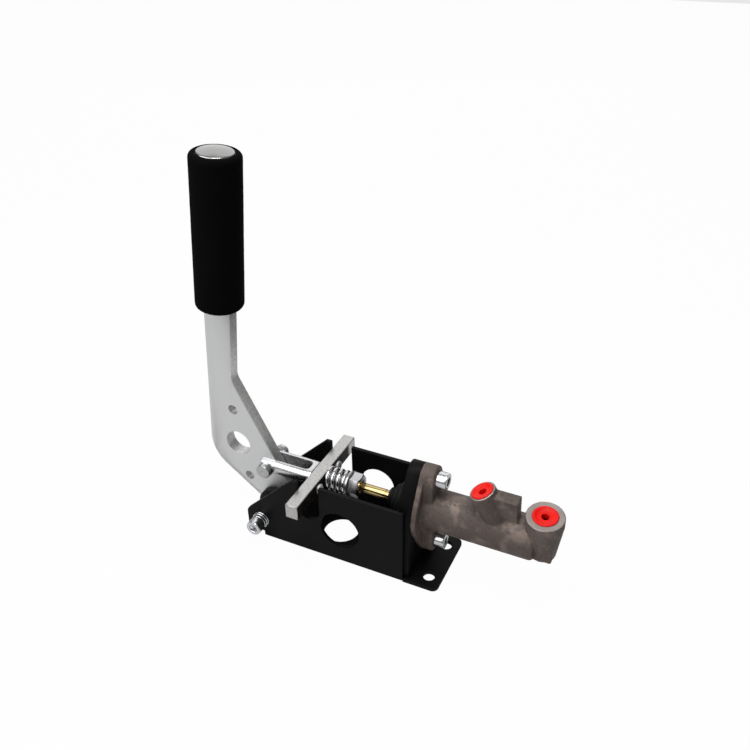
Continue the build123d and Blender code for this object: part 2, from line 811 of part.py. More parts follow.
coil_radius = sleeve_diameter / 2 + spring_gap + spring_wire / 2
coil_length = spring_length - spring_wire - 2 * seat
with BuildPart() as rod_spring:
    with BuildLine() as coil:
        Helix(
            pitch=coil_length / spring_turns,
            height=coil_length,
            radius=coil_radius,
            center=(bar_rear + seat + spring_wire / 2, 0, rod_z),
            direction=(1, 0, 0),
        )
    with BuildSketch(Plane(origin=coil.line @ 0, z_dir=coil.line % 0)):
        Circle(spring_wire / 2)
    sweep(path=coil.line, is_frenet=True)
save(rod_spring, "rod_spring")

with BuildPart() as spring_washer:
    with BuildSketch(square_to_rod(sleeve_end)):
        Circle(spring_washer_diameter / 2)
        Circle(thread_bore, mode=Mode.SUBTRACT)
    extrude(amount=spring_washer_thickness)
save(spring_washer, "spring_washer")

with BuildPart() as adjuster_nut:
    with BuildSketch(square_to_rod(adjuster_front)):
        RegularPolygon(adjuster_width / 2, 6, major_radius=False)
        Circle(thread_bore, mode=Mode.SUBTRACT)
    extrude(amount=adjuster_height)
save(adjuster_nut, "adjuster_nut")

# Push rod: threaded through the guide bar into the fork, its round tip in the piston cup
tip_radius = rod_diameter / 2
rod_front = crotch_x + tip_play
with BuildPart() as push_rod:
    with BuildSketch(rod_plane):
        with BuildLine():
            Polyline(
                (rod_tip - tip_radius, tip_radius),
                (adjuster_rear + rod_thread_runout, tip_radius),
                (adjuster_rear + rod_thread_runout, rod_thread_diameter / 2),
                (rod_front, rod_thread_diameter / 2),
                (rod_front, 0),
                (rod_tip, 0),
            )
            RadiusArc((rod_tip - tip_radius, tip_radius), (rod_tip, 0), tip_radius)
        make_face()
    revolve(axis=rod_axis)
save(push_rod, "push_rod")

# Piston with its cup, two seal grooves and a nose for the return spring
piston_radius = bore_diameter / 2 - running
rear_seal = piston_rear + piston_land
front_seal = piston_front - piston_land - seal_length
piston_outline = [
    (piston_rear, cup_radius),
    (piston_rear, piston_radius),
    (rear_seal, piston_radius),
    (rear_seal, piston_waist_radius),
    (rear_seal + seal_length, piston_waist_radius),
    (rear_seal + seal_length, piston_radius),
    (front_seal, piston_radius),
    (front_seal, piston_waist_radius),
    (front_seal + seal_length, piston_waist_radius),
    (front_seal + seal_length, piston_radius),
    (piston_front, piston_radius),
    (piston_front, piston_nose_radius),
    (piston_front + piston_nose_length, piston_nose_radius),
    (piston_front + piston_nose_length, 0),
    (piston_rear + cup_depth, 0),
    (piston_rear + cup_depth, cup_radius),
]
with BuildPart() as piston:
    with BuildSketch(rod_plane):
        with BuildLine():
            Polyline(piston_outline, close=True)
        make_face()
    revolve(axis=rod_axis)
save(piston, "piston")

with BuildPart() as piston_seals:
    for seal_start in (rear_seal, front_seal):
        with BuildSketch(square_to_rod(seal_start + seat)):
            Circle(piston_radius)
            Circle(piston_waist_radius + seat, mode=Mode.SUBTRACT)
        extrude(amount=seal_length - 2 * seat)
save(piston_seals, "piston_seals")

# Return spring between the piston and the end of the bore
return_start = piston_front + return_wire / 2 + seat
return_length = bore_end - piston_front - return_wire - 2 * seat
with BuildPart() as return_spring:
    with BuildLine() as return_coil:
        Helix(
            pitch=return_length / return_turns,
            height=return_length,
            radius=piston_nose_radius + spring_gap + return_wire / 2,
            center=(return_start, 0, rod_z),
            direction=(1, 0, 0),
        )
    with BuildSketch(Plane(origin=return_coil.line @ 0, z_dir=return_coil.line % 0)):
        Circle(return_wire / 2)
    sweep(path=return_coil.line, is_frenet=True)
save(return_spring, "return_spring")
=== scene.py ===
import bpy
import bmesh
import math
from mathutils import Matrix, Vector


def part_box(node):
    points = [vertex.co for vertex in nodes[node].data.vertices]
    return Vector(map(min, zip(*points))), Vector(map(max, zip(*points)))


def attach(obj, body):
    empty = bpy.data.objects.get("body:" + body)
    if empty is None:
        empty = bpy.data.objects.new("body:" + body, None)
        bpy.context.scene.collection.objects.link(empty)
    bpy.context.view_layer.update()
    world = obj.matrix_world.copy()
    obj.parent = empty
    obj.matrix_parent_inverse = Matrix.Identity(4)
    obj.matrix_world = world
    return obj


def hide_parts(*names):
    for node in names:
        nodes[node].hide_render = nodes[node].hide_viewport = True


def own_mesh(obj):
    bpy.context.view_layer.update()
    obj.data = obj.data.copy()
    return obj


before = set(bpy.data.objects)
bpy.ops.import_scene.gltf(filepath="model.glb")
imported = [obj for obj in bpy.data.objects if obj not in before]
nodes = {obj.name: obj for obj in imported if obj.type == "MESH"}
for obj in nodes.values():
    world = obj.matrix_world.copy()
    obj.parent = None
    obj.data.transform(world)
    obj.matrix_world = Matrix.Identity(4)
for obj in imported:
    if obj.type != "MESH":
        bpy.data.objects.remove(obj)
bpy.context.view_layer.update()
print("frame loaded:", len(nodes), "nodes")

# camera, at the photograph's viewpoint
cameraSet = {
    "place": (0.22098, -0.43005, 0.46104),
    "right": (0.90385912, 0.42760319, -0.01393566),
    "up": (-0.21820902, 0.48877414, 0.84468021),
    "back": (0.36799934, -0.76043103, 0.53508984),
    "lens": 39.283,
    "sensor": 36.0,
    "nearest": 0.01,
}
bpy.ops.object.select_all(action="DESELECT")
bpy.ops.object.camera_add()
camera = bpy.context.object
camera.name = "camera"
camera.data.lens = cameraSet["lens"]
camera.data.sensor_width = cameraSet["sensor"]
camera.data.clip_start = cameraSet["nearest"]
turned = Matrix((cameraSet["right"], cameraSet["up"], cameraSet["back"])).transposed()
camera.matrix_world = Matrix.Translation(cameraSet["place"]) @ turned.to_4x4()
bpy.context.scene.camera = camera
bpy.context.scene.view_settings.view_transform = "Standard"


# shader tools: a socket that takes part in plain arithmetic
class Wire:
    def __init__(self, shading, socket):
        self.shading = shading
        self.socket = socket

    def math(self, operation, *values):
        return self.shading.add("ShaderNodeMath", {"operation": operation}, values)

    def __add__(self, other):
        return self.math("ADD", self, other)

    def __radd__(self, other):
        return self.math("ADD", other, self)

    def __sub__(self, other):
        return self.math("SUBTRACT", self, other)

    def __rsub__(self, other):
        return self.math("SUBTRACT", other, self)

    def __mul__(self, other):
        return self.math("MULTIPLY", self, other)

    def __rmul__(self, other):
        return self.math("MULTIPLY", other, self)


class Shading:
    def __init__(self, tree):
        self.tree = tree

    # any node: its type, its own settings first, then the values or wires of its sockets
    def add(self, kind, settings, inputs, output=0):
        node = self.tree.nodes.new(kind)
        for name, value in settings.items():
            setattr(node, name, value)
        pairs = inputs.items() if isinstance(inputs, dict) else enumerate(inputs)
        for key, value in pairs:
            if isinstance(value, Wire):
                self.tree.links.new(value.socket, node.inputs[key])
            else:
                node.inputs[key].default_value = value
        return Wire(self, node.outputs[output])

    # the tree's result is a mix of two shaders
    def endInMix(self, outputName, factor, first, second):
        mix = self.add("ShaderNodeMixShader", {}, [factor, first, second])
        self.tree.links.new(mix.socket, self.tree.nodes[outputName].inputs["Surface"])


class Finish(Shading):
    def __init__(self, name, **constants):
        self.material = bpy.data.materials.new(name)
        self.material.use_nodes = True
        super().__init__(self.material.node_tree)
        self.shader = self.tree.nodes["Principled BSDF"]
        for socket, value in constants.items():
            self.shader.inputs[socket.replace("_", " ")].default_value = value

    def feed(self, socket, wire):
        self.tree.links.new(wire.socket, self.shader.inputs[socket])

    def place(self, stretch=(1, 1, 1)):
        spot = self.add("ShaderNodeTexCoord", {}, {}, "Object")
        return self.add("ShaderNodeMapping", {}, {"Vector": spot, "Scale": stretch})

    def noise(self, scale, detail, rough, stretch=(1, 1, 1)):
        settings = {"Vector": self.place(stretch), "Scale": scale, "Detail": detail, "Roughness": rough}
        return self.add("ShaderNodeTexNoise", {}, settings)

    # 0 below low and 1 above high, with a soft step between
    def spread(self, wire, low, high):
        soft = {"interpolation_type": "SMOOTHSTEP"}
        return self.add("ShaderNodeMapRange", soft, [wire, low, high, 0.0, 1.0])

    # noise with its spots set apart from plain ground
    def spots(self, scale, detail, rough, low, high, stretch=(1, 1, 1)):
        return self.spread(self.noise(scale, detail, rough, stretch), low, high)

    def blend(self, factor, first, second):
        return self.add("ShaderNodeMix", {"data_type": "RGBA"}, {0: factor, 6: first, 7: second}, 2)

    def bump(self, height, depth, strength):
        settings = {"Height": height, "Distance": depth, "Strength": strength}
        self.feed("Normal", self.add("ShaderNodeBump", {}, settings))


# a colour as a socket takes it, darkened to a share of itself
def rgba(colour, share=1.0):
    return tuple(c * share for c in colour) + (1,)


# mesh tools
def pick(piece):
    bpy.ops.object.select_all(action="DESELECT")
    piece.select_set(True)
    bpy.context.view_layer.objects.active = piece


def editStart(piece, mode="VERT"):
    pick(piece)
    bpy.ops.object.mode_set(mode="EDIT")
    bpy.ops.mesh.select_mode(type=mode)
    bpy.ops.mesh.select_all(action="DESELECT")


def editEnd():
    bpy.ops.object.mode_set(mode="OBJECT")


def choose(piece, test, kind="verts"):
    mesh = bmesh.from_edit_mesh(piece.data)
    for item in getattr(mesh, kind):
        item.select_set(test(item))
    mesh.select_flush_mode()
    bmesh.update_edit_mesh(piece.data)


def tidyMesh(piece, gap=1e-6):
    editStart(piece)
    bpy.ops.mesh.select_all(action="SELECT")
    bpy.ops.mesh.remove_doubles(threshold=gap)
    bpy.ops.mesh.normals_make_consistent(inside=False)
    editEnd()


def joinFlatFaces(piece, angle=0.6):
    editStart(piece, "FACE")
    bpy.ops.mesh.select_all(action="SELECT")
    bpy.ops.mesh.dissolve_limited(angle_limit=math.radians(angle))
    editEnd()


def useModifier(piece, kind, **settings):
    modifier = piece.modifiers.new(kind.lower(), kind)
    for name, value in settings.items():
        setattr(modifier, name, value)
    pick(piece)
    bpy.ops.object.modifier_apply(modifier=modifier.name)


def smooth(piece, angle):
    pick(piece)
    bpy.ops.object.shade_smooth_by_angle(angle=math.radians(angle))


def roundEdges(piece, width, segments=3, angle=30, corner="MITER_SHARP"):
    useModifier(piece, "BEVEL", width=width, segments=segments, limit_method="ANGLE",
                angle_limit=math.radians(angle), miter_outer=corner)


def roughen(piece, textureName, size, depth):
    clouds = bpy.data.textures.new(textureName, "CLOUDS")
    clouds.noise_scale = size
    useModifier(piece, "DISPLACE", texture=clouds, strength=depth, mid_level=0.5, texture_coords="LOCAL")


def duplicate(piece, name):
    twin = piece.copy()
    twin.data = piece.data.copy()
    twin.name = name
    bpy.context.scene.collection.objects.link(twin)
    return twin


# a turned piece: a ring is drawn out and resized from one station to the next, along Z
def turnPiece(name, stations, around=48, hollow=False):
    radius, height = stations[0]
    bpy.ops.object.select_all(action="DESELECT")
    bpy.ops.mesh.primitive_circle_add(vertices=around, radius=radius, location=(0, 0, height))
    piece = bpy.context.object
    piece.name = name
    bpy.ops.object.transform_apply(location=True, rotation=True, scale=True)
    bpy.ops.object.mode_set(mode="EDIT")
    bpy.ops.mesh.select_mode(type="EDGE")
    bpy.ops.mesh.select_all(action="SELECT")
    if not hollow:
        bpy.ops.mesh.edge_face_add()
        choose(piece, lambda edge: True, "edges")
    path = stations[1:] + stations[:1] if hollow else stations[1:]
    for nextRadius, nextHeight in path:
        bpy.ops.mesh.extrude_edges_move(TRANSFORM_OT_translate={"value": (0, 0, nextHeight - height)})
        grow = nextRadius / radius
        bpy.ops.transform.resize(value=(grow, grow, 1), center_override=(0, 0, nextHeight))
        radius, height = nextRadius, nextHeight
    if not hollow:
        bpy.ops.mesh.edge_face_add()
    editEnd()
    tidyMesh(piece)
    return piece


# sines and cosines at even steps of an arc, for rounded rims
def arc(first, last, degrees):
    turns = [math.radians(step * degrees) for step in range(first, last + 1)]
    return [(math.sin(turn), math.cos(turn)) for turn in turns]


def makeBlock(name, low, high):
    bpy.ops.object.select_all(action="DESELECT")
    middle = [(a + b) / 2 for a, b in zip(low, high)]
    bpy.ops.mesh.primitive_cube_add(size=1, location=middle, scale=[b - a for a, b in zip(low, high)])
    block = bpy.context.object
    block.name = name
    bpy.ops.object.transform_apply(location=True, rotation=True, scale=True)
    return block


# puts a piece that was made along Z onto its own axis and fixes it there
def settle(piece, spot, axis, twist=0.0):
    lean = Vector((0, 0, 1)).rotation_difference(Vector(axis))
    piece.matrix_world = Matrix.Translation(spot) @ lean.to_matrix().to_4x4() @ Matrix.Rotation(twist, 4, "Z")
    pick(piece)
    bpy.ops.object.transform_apply(location=True, rotation=True, scale=True)


def cutWith(piece, tool, operation="DIFFERENCE"):
    useModifier(piece, "BOOLEAN", object=tool, operation=operation, solver="EXACT")
    bpy.data.objects.remove(tool)


def hand(piece, body, slotName, finish, *replaced):
    piece.data.materials.clear()
    piece.data.materials.append(finish.material)
    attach(piece, body)
    if replaced:
        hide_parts(*replaced)


# gives the faces that pass a test a second finish
def paintFaces(piece, finish, test):
    piece.data.materials.append(finish.material)
    editStart(piece, "FACE")
    choose(piece, test, "faces")
    piece.active_material_index = 1
    bpy.ops.object.material_slot_assign()
    editEnd()


# finishes: a noise is scale, detail and roughness, and spots add the low and high end of their step
def makePowderCoat():
    finish = Finish("blackPowderCoat", Specular_IOR_Level=0.11)
    peel, cloud = finish.noise(1500, 3, 0.55), finish.noise(28, 3, 0.6)
    dust = finish.spots(420, 5, 0.7, 0.62, 0.8)
    tone = finish.blend(cloud, (0.0016, 0.0016, 0.0017, 1), (0.0036, 0.0036, 0.0037, 1))
    finish.feed("Base Color", finish.blend(dust * 0.10, tone, (0.045, 0.045, 0.047, 1)))
    finish.feed("Roughness", 0.36 + 0.16 * cloud + 0.08 * peel)
    finish.bump(peel, 0.00004, 0.55)
    return finish


# brushed metal with a few deeper lines along one direction; mottle darkens millimetre-wide spots
def makeBrushed(name, colour, along, rough, streak=1.0, mottle=0.0):
    finish = Finish(name, Metallic=1.0)
    fine, broad = finish.noise(1.0, 3, 0.6, along), finish.noise(0.22, 2, 0.5, along)
    scratch = finish.spots(0.6, 4, 0.75, 0.60, 0.72, along)
    smear, spots = finish.noise(35, 3, 0.6), finish.spots(520, 4, 0.7, 0.42, 0.62)
    tone = finish.blend(fine * 0.6 + smear * 0.4, rgba(colour, 0.90), rgba(colour))
    tone = finish.blend(scratch * 0.22, tone, rgba(colour, 0.62))
    finish.feed("Base Color", finish.blend(spots * mottle, tone, rgba(colour, 0.45)))
    finish.feed("Roughness", rough + 0.10 * (fine - 0.5) + 0.10 * (smear - 0.5) + 0.06 * broad)
    finish.bump(fine * 0.6 + broad * 0.4 - scratch * 0.5, 0.000018 * streak, 0.8)
    return finish


# painted shade: the bar's rear face is coloured near black, with brownish spots, and stays bare metal at its
# far end
def makeBarPaintedShade():
    finish = Finish("barPaintedShade", Specular_IOR_Level=0.15)
    spot = finish.add("ShaderNodeTexCoord", {}, {}, "Object")
    across = finish.add("ShaderNodeSeparateXYZ", {}, [spot], "Y")
    cloud = finish.noise(260, 4, 0.65)
    # where the painted shade stops, near the far end, the face is bare metal
    bareEnd = finish.spread(across + 0.004 * cloud, 0.0365, 0.0400)
    brown = finish.spread(cloud, 0.42, 0.68)
    # painted shade: two near-black tones colour the rear face
    paintedShade = finish.blend(brown, (0.003, 0.0026, 0.0026, 1), (0.030, 0.021, 0.017, 1))
    finish.feed("Base Color", finish.blend(bareEnd, paintedShade, (0.62, 0.60, 0.58, 1)))
    finish.feed("Metallic", 0.2 + 0.8 * bareEnd)
    finish.feed("Roughness", 0.52 - 0.15 * bareEnd)
    finish.bump(cloud, 0.00004, 0.6)
    return finish


def makeZinc(name, colour, rough):
    finish = Finish(name, Metallic=1.0)
    cloud, grain = finish.noise(180, 4, 0.6), finish.noise(2600, 2, 0.5)
    spots = finish.spots(900, 4, 0.7, 0.64, 0.74)
    tone = finish.blend(cloud, rgba(colour, 0.86), rgba(colour))
    finish.feed("Base Color", finish.blend(spots * 0.25, tone, rgba(colour, 0.55)))
    finish.feed("Roughness", rough + 0.14 * (cloud - 0.4) + 0.08 * spots)
    finish.bump(grain * 0.5 + cloud * 0.5, 0.00002, 0.5)
    return finish


# sand skin: dark hollows, warm rubbed patches and bright grains on the raised spots
def makeCasting():
    finish = Finish("sandCasting", Specular_IOR_Level=0.35)
    sand, lump = finish.noise(1500, 4, 0.7), finish.noise(380, 3, 0.6)
    patch, pit = finish.spots(24, 4, 0.6, 0.42, 0.62), finish.spots(560, 5, 0.75, 0.56, 0.70)
    rubbed, glint = finish.spots(70, 5, 0.65, 0.50, 0.66), finish.spread(sand, 0.56, 0.72)
    tone = finish.blend(patch, (0.104, 0.080, 0.070, 1), (0.156, 0.122, 0.107, 1))
    tone = finish.blend(rubbed * 0.45, tone, (0.340, 0.262, 0.223, 1))
    tone = finish.blend(pit * 0.65, tone, (0.018, 0.014, 0.013, 1))
    finish.feed("Base Color", finish.blend(glint * 0.5, tone, (0.40, 0.330, 0.29, 1)))
    finish.feed("Metallic", 0.15 + 0.55 * glint + 0.15 * rubbed)
    finish.feed("Roughness", 0.58 - 0.20 * glint - 0.08 * rubbed)
    finish.bump(sand * 0.4 + lump * 0.8 - pit * 0.6, 0.00030, 1.0)
    return finish


# the ports' cut faces: clouded bare metal with a fine grain
def makeMachined():
    finish = Finish("machinedFace", Metallic=0.85)
    grain, cloud = finish.noise(1700, 2, 0.5), finish.noise(90, 3, 0.6)
    finish.feed("Base Color", finish.blend(cloud, (0.24, 0.205, 0.19, 1), (0.52, 0.46, 0.43, 1)))
    finish.feed("Roughness", 0.38 + 0.16 * grain)
    finish.bump(grain, 0.00003, 0.6)
    return finish


def makePlastic(name, colour, rough, grainDepth, shine):
    finish = Finish(name, Specular_IOR_Level=shine)
    cloud, grain = finish.noise(120, 3, 0.5), finish.noise(1900, 3, 0.6)
    finish.feed("Base Color", finish.blend(cloud, rgba(colour, 0.72), rgba(colour)))
    finish.feed("Roughness", rough + 0.12 * (grain - 0.5))
    finish.bump(grain, grainDepth, 0.6)
    return finish


# black rubber with a dusty bloom
def makeRubber():
    finish = Finish("bootRubber", Specular_IOR_Level=0.16)
    grain, bloom = finish.noise(1600, 3, 0.6), finish.spots(75, 4, 0.65, 0.52, 0.78)
    tone = finish.blend(bloom * 0.5, (0.0035, 0.0035, 0.0037, 1), (0.014, 0.0135, 0.013, 1))
    finish.feed("Base Color", tone)
    finish.feed("Roughness", 0.46 + 0.2 * bloom + 0.1 * grain)
    finish.bump(grain, 0.00003, 0.6)
    return finish


def makeFoam():
    finish = Finish("gripFoam", Specular_IOR_Level=0.03)
    cells = finish.add("ShaderNodeTexVoronoi", {"feature": "F1"}, {"Vector": finish.place(), "Scale": 1500.0})
    fuzz, cloud = finish.noise(2300, 4, 0.7), finish.noise(42, 3, 0.6)
    tone = finish.blend(cloud * 0.6 + fuzz * 0.4, (0.0016, 0.0016, 0.0016, 1), (0.0042, 0.0042, 0.0043, 1))
    finish.feed("Base Color", tone)
    finish.feed("Roughness", 0.80 + 0.15 * fuzz)
    finish.bump(cells * 0.6 + fuzz * 0.6, 0.00018, 0.8)
    return finish


powderCoat = makePowderCoat()
leverEdge = makeBrushed("leverEdge", (0.84, 0.835, 0.825), (1300, 110, 1300), 0.44, streak=3.0, mottle=0.45)
leverBrushed = makeBrushed("leverBrushed", (0.82, 0.825, 0.83), (1500, 1500, 60), 0.44)
barBrushed = makeBrushed("barBrushed", (0.66, 0.65, 0.635), (1500, 40, 1500), 0.36, mottle=0.35)
barPaintedShade = makeBarPaintedShade()
pistonTurned = makeBrushed("pistonTurned", (0.78, 0.78, 0.78), (1500, 200, 200), 0.3)
brightZinc = makeZinc("brightZinc", (0.80, 0.81, 0.83), 0.20)
yellowZinc = makeZinc("yellowZinc", (0.80, 0.60, 0.27), 0.18)
polishedCap = makeZinc("polishedCap", (0.43, 0.43, 0.425), 0.20)
bronze = makeZinc("bronze", (0.60, 0.42, 0.22), 0.30)
forkZinc = makeZinc("forkZinc", (0.80, 0.80, 0.81), 0.26)
dullZinc = makeZinc("dullZinc", (0.56, 0.57, 0.56), 0.30)
mattZinc = makeZinc("mattZinc", (0.66, 0.65, 0.63), 0.52)
nutZinc = makeZinc("nutZinc", (0.62, 0.61, 0.63), 0.22)
springSteel = makeZinc("springSteel", (0.84, 0.84, 0.85), 0.17)
casting = makeCasting()
machined = makeMachined()
redPlastic = makePlastic("redPlastic", (0.96, 0.010, 0.006), rough=0.42, grainDepth=0.00003, shine=0.22)
blackNylon = makePlastic("blackNylon", (0.006, 0.006, 0.0065), rough=0.42, grainDepth=0.00004, shine=0.14)
bootRubber = makeRubber()
gripFoam = makeFoam()
print("finishes made")

# studio: pale floor, plain background, soft lamps from the left, above and behind
studioSet = {
    "floorSize": 6.0, "floorDrop": 0.0002, "floorColour": (0.62, 0.62, 0.62), "floorRough": 0.9,
    "floorGlow": 0.975, "fill": 0.20,
    # name, place, size, power and the spot that it points at
    "lamps": (
        ("keyLamp", (-0.52, -0.72, 1.08), 1.3, 12.0, (-0.02, -0.05, 0.05)),
        ("topLamp", (0.10, -0.10, 1.25), 0.5, 6.0, (0.02, 0.0, 0.05)),
        ("backLamp", (-0.55, 1.15, 0.80), 1.6, 6.6, (0.0, 0.0, 0.09)),
    ),
}


# the camera sees a plain background, and the pieces get only a soft fill from it
def makeSky():
    world = bpy.data.worlds.new("studio")
    bpy.context.scene.world = world
    world.use_nodes = True
    sky = Shading(world.node_tree)
    fill = sky.tree.nodes["Background"]
    fill.inputs["Color"].default_value = (1, 1, 1, 1)
    fill.inputs["Strength"].default_value = studioSet["fill"]
    plain = sky.add("ShaderNodeBackground", {}, {"Strength": 1.0})
    direct = sky.add("ShaderNodeLightPath", {}, {}, "Is Camera Ray")
    through = sky.add("ShaderNodeLightPath", {}, {}, "Is Transmission Ray")
    sky.endInMix("World Output", direct.math("MAXIMUM", direct, through), Wire(sky, fill.outputs[0]), plain)


# the floor glows for the camera alone, so that it meets the background
def makeFloor():
    bpy.ops.object.select_all(action="DESELECT")
    bpy.ops.mesh.primitive_plane_add(size=studioSet["floorSize"], location=(0, 0, -studioSet["floorDrop"]))
    floor = bpy.context.object
    floor.name = "floor"
    bpy.ops.object.transform_apply(location=True)
    paint = Finish("paleFloor", Base_Color=rgba(studioSet["floorColour"]), Roughness=studioSet["floorRough"],
                   Specular_IOR_Level=0.0)
    glow = paint.add("ShaderNodeEmission", {}, {"Strength": 1.0})
    direct = paint.add("ShaderNodeLightPath", {}, {}, "Is Camera Ray")
    matt = Wire(paint, paint.shader.outputs[0])
    paint.endInMix("Material Output", direct * studioSet["floorGlow"], matt, glow)
    floor.data.materials.append(paint.material)


def makeLamps():
    for name, spot, size, power, aim in studioSet["lamps"]:
        bpy.ops.object.light_add(type="AREA", location=spot)
        lamp = bpy.context.object
        lamp.name = name
        lamp.data.size = size
        lamp.data.energy = power
        toward = Vector(aim) - Vector(spot)
        lamp.rotation_euler = toward.to_track_quat("-Z", "Y").to_euler()


makeSky()
makeFloor()
makeLamps()
print("camera, floor and lamps set")

# places that several pieces share, read from the CAD nodes, in metres
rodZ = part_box("push_rod")[0][2] * 0.5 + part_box("push_rod")[1][2] * 0.5
hingeX, hingeZ = [(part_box("pivot_bush")[0][i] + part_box("pivot_bush")[1][i]) / 2 for i in (0, 2)]
pinX = (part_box("clevis_pin")[0][0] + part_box("clevis_pin")[1][0]) / 2
towardNear = (0, -1, 0)
towardFar = (0, 1, 0)
alongRod = (1, 0, 0)
rodBore = 0.00406  # bore of what the push rod passes through
pinBore = 0.00306
boltBore = 0.0042


# a copy of a CAD node, with its loose triangles merged
def mergedCopy(nodeName, name):
    piece = duplicate(nodes[nodeName], name)
    piece.parent = None
    piece.matrix_world = Matrix.Identity(4)
    tidyMesh(piece, 2e-6)
    return piece


# a copy whose flat faces are joined and whose edges may be softened
def carryOver(nodeName, name, width):
    piece = mergedCopy(nodeName, name)
    joinFlatFaces(piece)
    if width:
        roundEdges(piece, width, 2, 35, "MITER_ARC")
    smooth(piece, 40)
    return piece


# a hexagon cut down from a turned blank, with a bore
hexShape = {"chamferRun": 1.9, "mouth": 0.0006, "past": 0.0004, "edge": 0.00012}


def hexPiece(name, across, height, chamfer, bore):
    corner, past, mouth = across / math.sqrt(3), hexShape["past"], hexShape["mouth"]
    face = corner - chamfer * hexShape["chamferRun"]
    blank = turnPiece(name, [(face, 0), (corner, chamfer), (corner, height - chamfer), (face, height)], 64)
    prism = turnPiece("prism", [(corner, -0.001), (corner, height + 0.001)], 6)
    cutWith(blank, prism, "INTERSECT")
    hole = turnPiece("hole", [(bore + mouth, -past), (bore, mouth), (bore, height - mouth),
                              (bore + mouth, height + past)], 40)
    cutWith(blank, hole)
    roundEdges(blank, hexShape["edge"], 2, 25)
    smooth(blank, 30)
    return blank


# the end of a threaded shank: ridges and a tip; startRadius counts in radii, the rest in pitches
threadShape = {"startRadius": 0.9, "depth": 0.42, "lastRidge": 0.6, "tipShoulder": 0.1, "tip": 0.6}


def threadPiece(name, radius, length, pitch):
    shape = threadShape
    stations = [(radius * shape["startRadius"], 0)]
    height = pitch * 0.5
    while height < length - pitch * shape["lastRidge"]:
        stations += [(radius, height), (radius - pitch * shape["depth"], height + pitch * 0.5)]
        height += pitch
    stations += [(radius - pitch * shape["tipShoulder"], height), (radius - pitch * shape["tip"], length)]
    piece = turnPiece(name, stations, 32)
    smooth(piece, 25)
    return piece


def ringPiece(name, inner, outer, height, edge, around=56):
    stations = [(inner, edge), (inner + edge, 0), (outer - edge, 0), (outer, edge), (outer, height - edge),
                (outer - edge, height), (inner + edge, height), (inner, height - edge)]
    piece = turnPiece(name, stations, around, True)
    smooth(piece, 35)
    return piece


# grip: foam sleeve, rolled in at both ends; its lips are places from the bore and the end
gripShape = {
    "radius": 0.0179, "bore": 0.01308, "length": 0.1145, "lean": 6.0, "coreShorter": 0.0016,
    "topRound": 0.0036, "footRound": 0.0030, "footStraight": 0.001,
    "footLip": ((0.0, 0.004), (0.0, 0.0012), (0.0006, 0.0003), (0.0014, 0.0)),
    "topLip": ((0.0001, -0.0004), (0.0, -0.0016), (0.0, -0.006)), "rings": 34,
    "swell": (0.012, 0.00016), "cells": (0.0016, 0.00016),
}


def gripAxis():
    low, high = (Vector(corner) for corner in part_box("grip_core"))
    lean = math.radians(gripShape["lean"])
    axis = Vector((math.sin(lean), 0, math.cos(lean)))
    middle = (low + high) / 2
    return axis, middle - axis * (gripShape["length"] - gripShape["coreShorter"]) / 2


def makeFoamGrip():
    shape = gripShape
    outer, bore, length, rings = shape["radius"], shape["bore"], shape["length"], shape["rings"]
    footRound, topRound = shape["footRound"], shape["topRound"]
    low, high = footRound + shape["footStraight"], length - topRound
    stations = [(bore + out, up) for out, up in shape["footLip"]]
    stations += [(outer - footRound * (1 - sine), footRound * (1 - cosine)) for sine, cosine in arc(0, 6, 15)]
    stations += [(outer, low + (high - low) * ring / rings) for ring in range(1, rings)]
    stations += [(outer - topRound * (1 - cosine), high + topRound * sine)
                 for sine, cosine in arc(0, 8, 11.25)]
    stations += [(bore + out, length + up) for out, up in shape["topLip"]]
    piece = turnPiece("foamGrip", stations, 96, True)
    useModifier(piece, "SUBSURF", levels=1, render_levels=1)
    roughen(piece, "unevenness", *shape["swell"])
    roughen(piece, "cells", *shape["cells"])
    smooth(piece, 60)
    axis, foot = gripAxis()
    settle(piece, foot, axis)
    hand(piece, "lever", "grip_foam", gripFoam, "foam_grip")


# the grip's polished cap, slightly domed
capShape = {
    "radius": 0.0129, "rim": 0.0016, "edge": 0.0003, "corner": 0.0001, "shoulderIn": 0.0005,
    "shoulderUp": 0.00045, "rise": 0.0024, "rings": 12, "plug": 0.011, "plugDepth": 0.006,
}


def makeGripCap():
    shape = capShape
    radius, rim, edge, corner = shape["radius"], shape["rim"], shape["edge"], shape["corner"]
    domeRadius, domeFoot = radius - shape["shoulderIn"], shape["shoulderUp"]
    stations = [(shape["plug"], -rim - shape["plugDepth"]), (shape["plug"], -rim), (radius - edge, -rim),
                (radius, -rim + edge), (radius, -edge), (radius - corner, corner), (domeRadius, domeFoot)]
    for ring in range(1, shape["rings"] + 1):
        share = ring / (shape["rings"] + 0.5)
        rise = (shape["rise"] - domeFoot) * (1 - (1 - share) ** 2)
        stations.append((domeRadius * (1 - share), domeFoot + rise))
    piece = turnPiece("gripCap", stations, 72)
    smooth(piece, 50)
    axis, foot = gripAxis()
    settle(piece, foot + axis * gripShape["length"], axis)
    hand(piece, "lever", "polished_cap", polishedCap, "grip_cap")


makeFoamGrip()
makeGripCap()
print("grip made")

# socket screws: a knurled head with a hexagon socket, on a plain shank
socketShape = {
    "headHeight": 0.008, "crown": 0.0007, "knurls": 36, "knurlDepth": 0.00009, "socket": 0.0030,
    "socketDepth": 0.0042, "socketPoint": 0.0008, "socketMouth": 0.0003, "socketFlare": 0.0006,
    "shank": 0.0040, "neck": 0.0003, "neckStart": 0.0002,
    # places from the head's radius, and from its foot or its top
    "headFoot": ((-0.0006, 0.00001), (-0.0001, 0.0004), (-0.0001, 0.0012), (0.0, 0.0015)),
    "headTop": ((0.0, -0.0022), (-0.0001, -0.0019)),
    "bandFrom": 0.00145,
    "bandBelowTop": 0.0021,
}


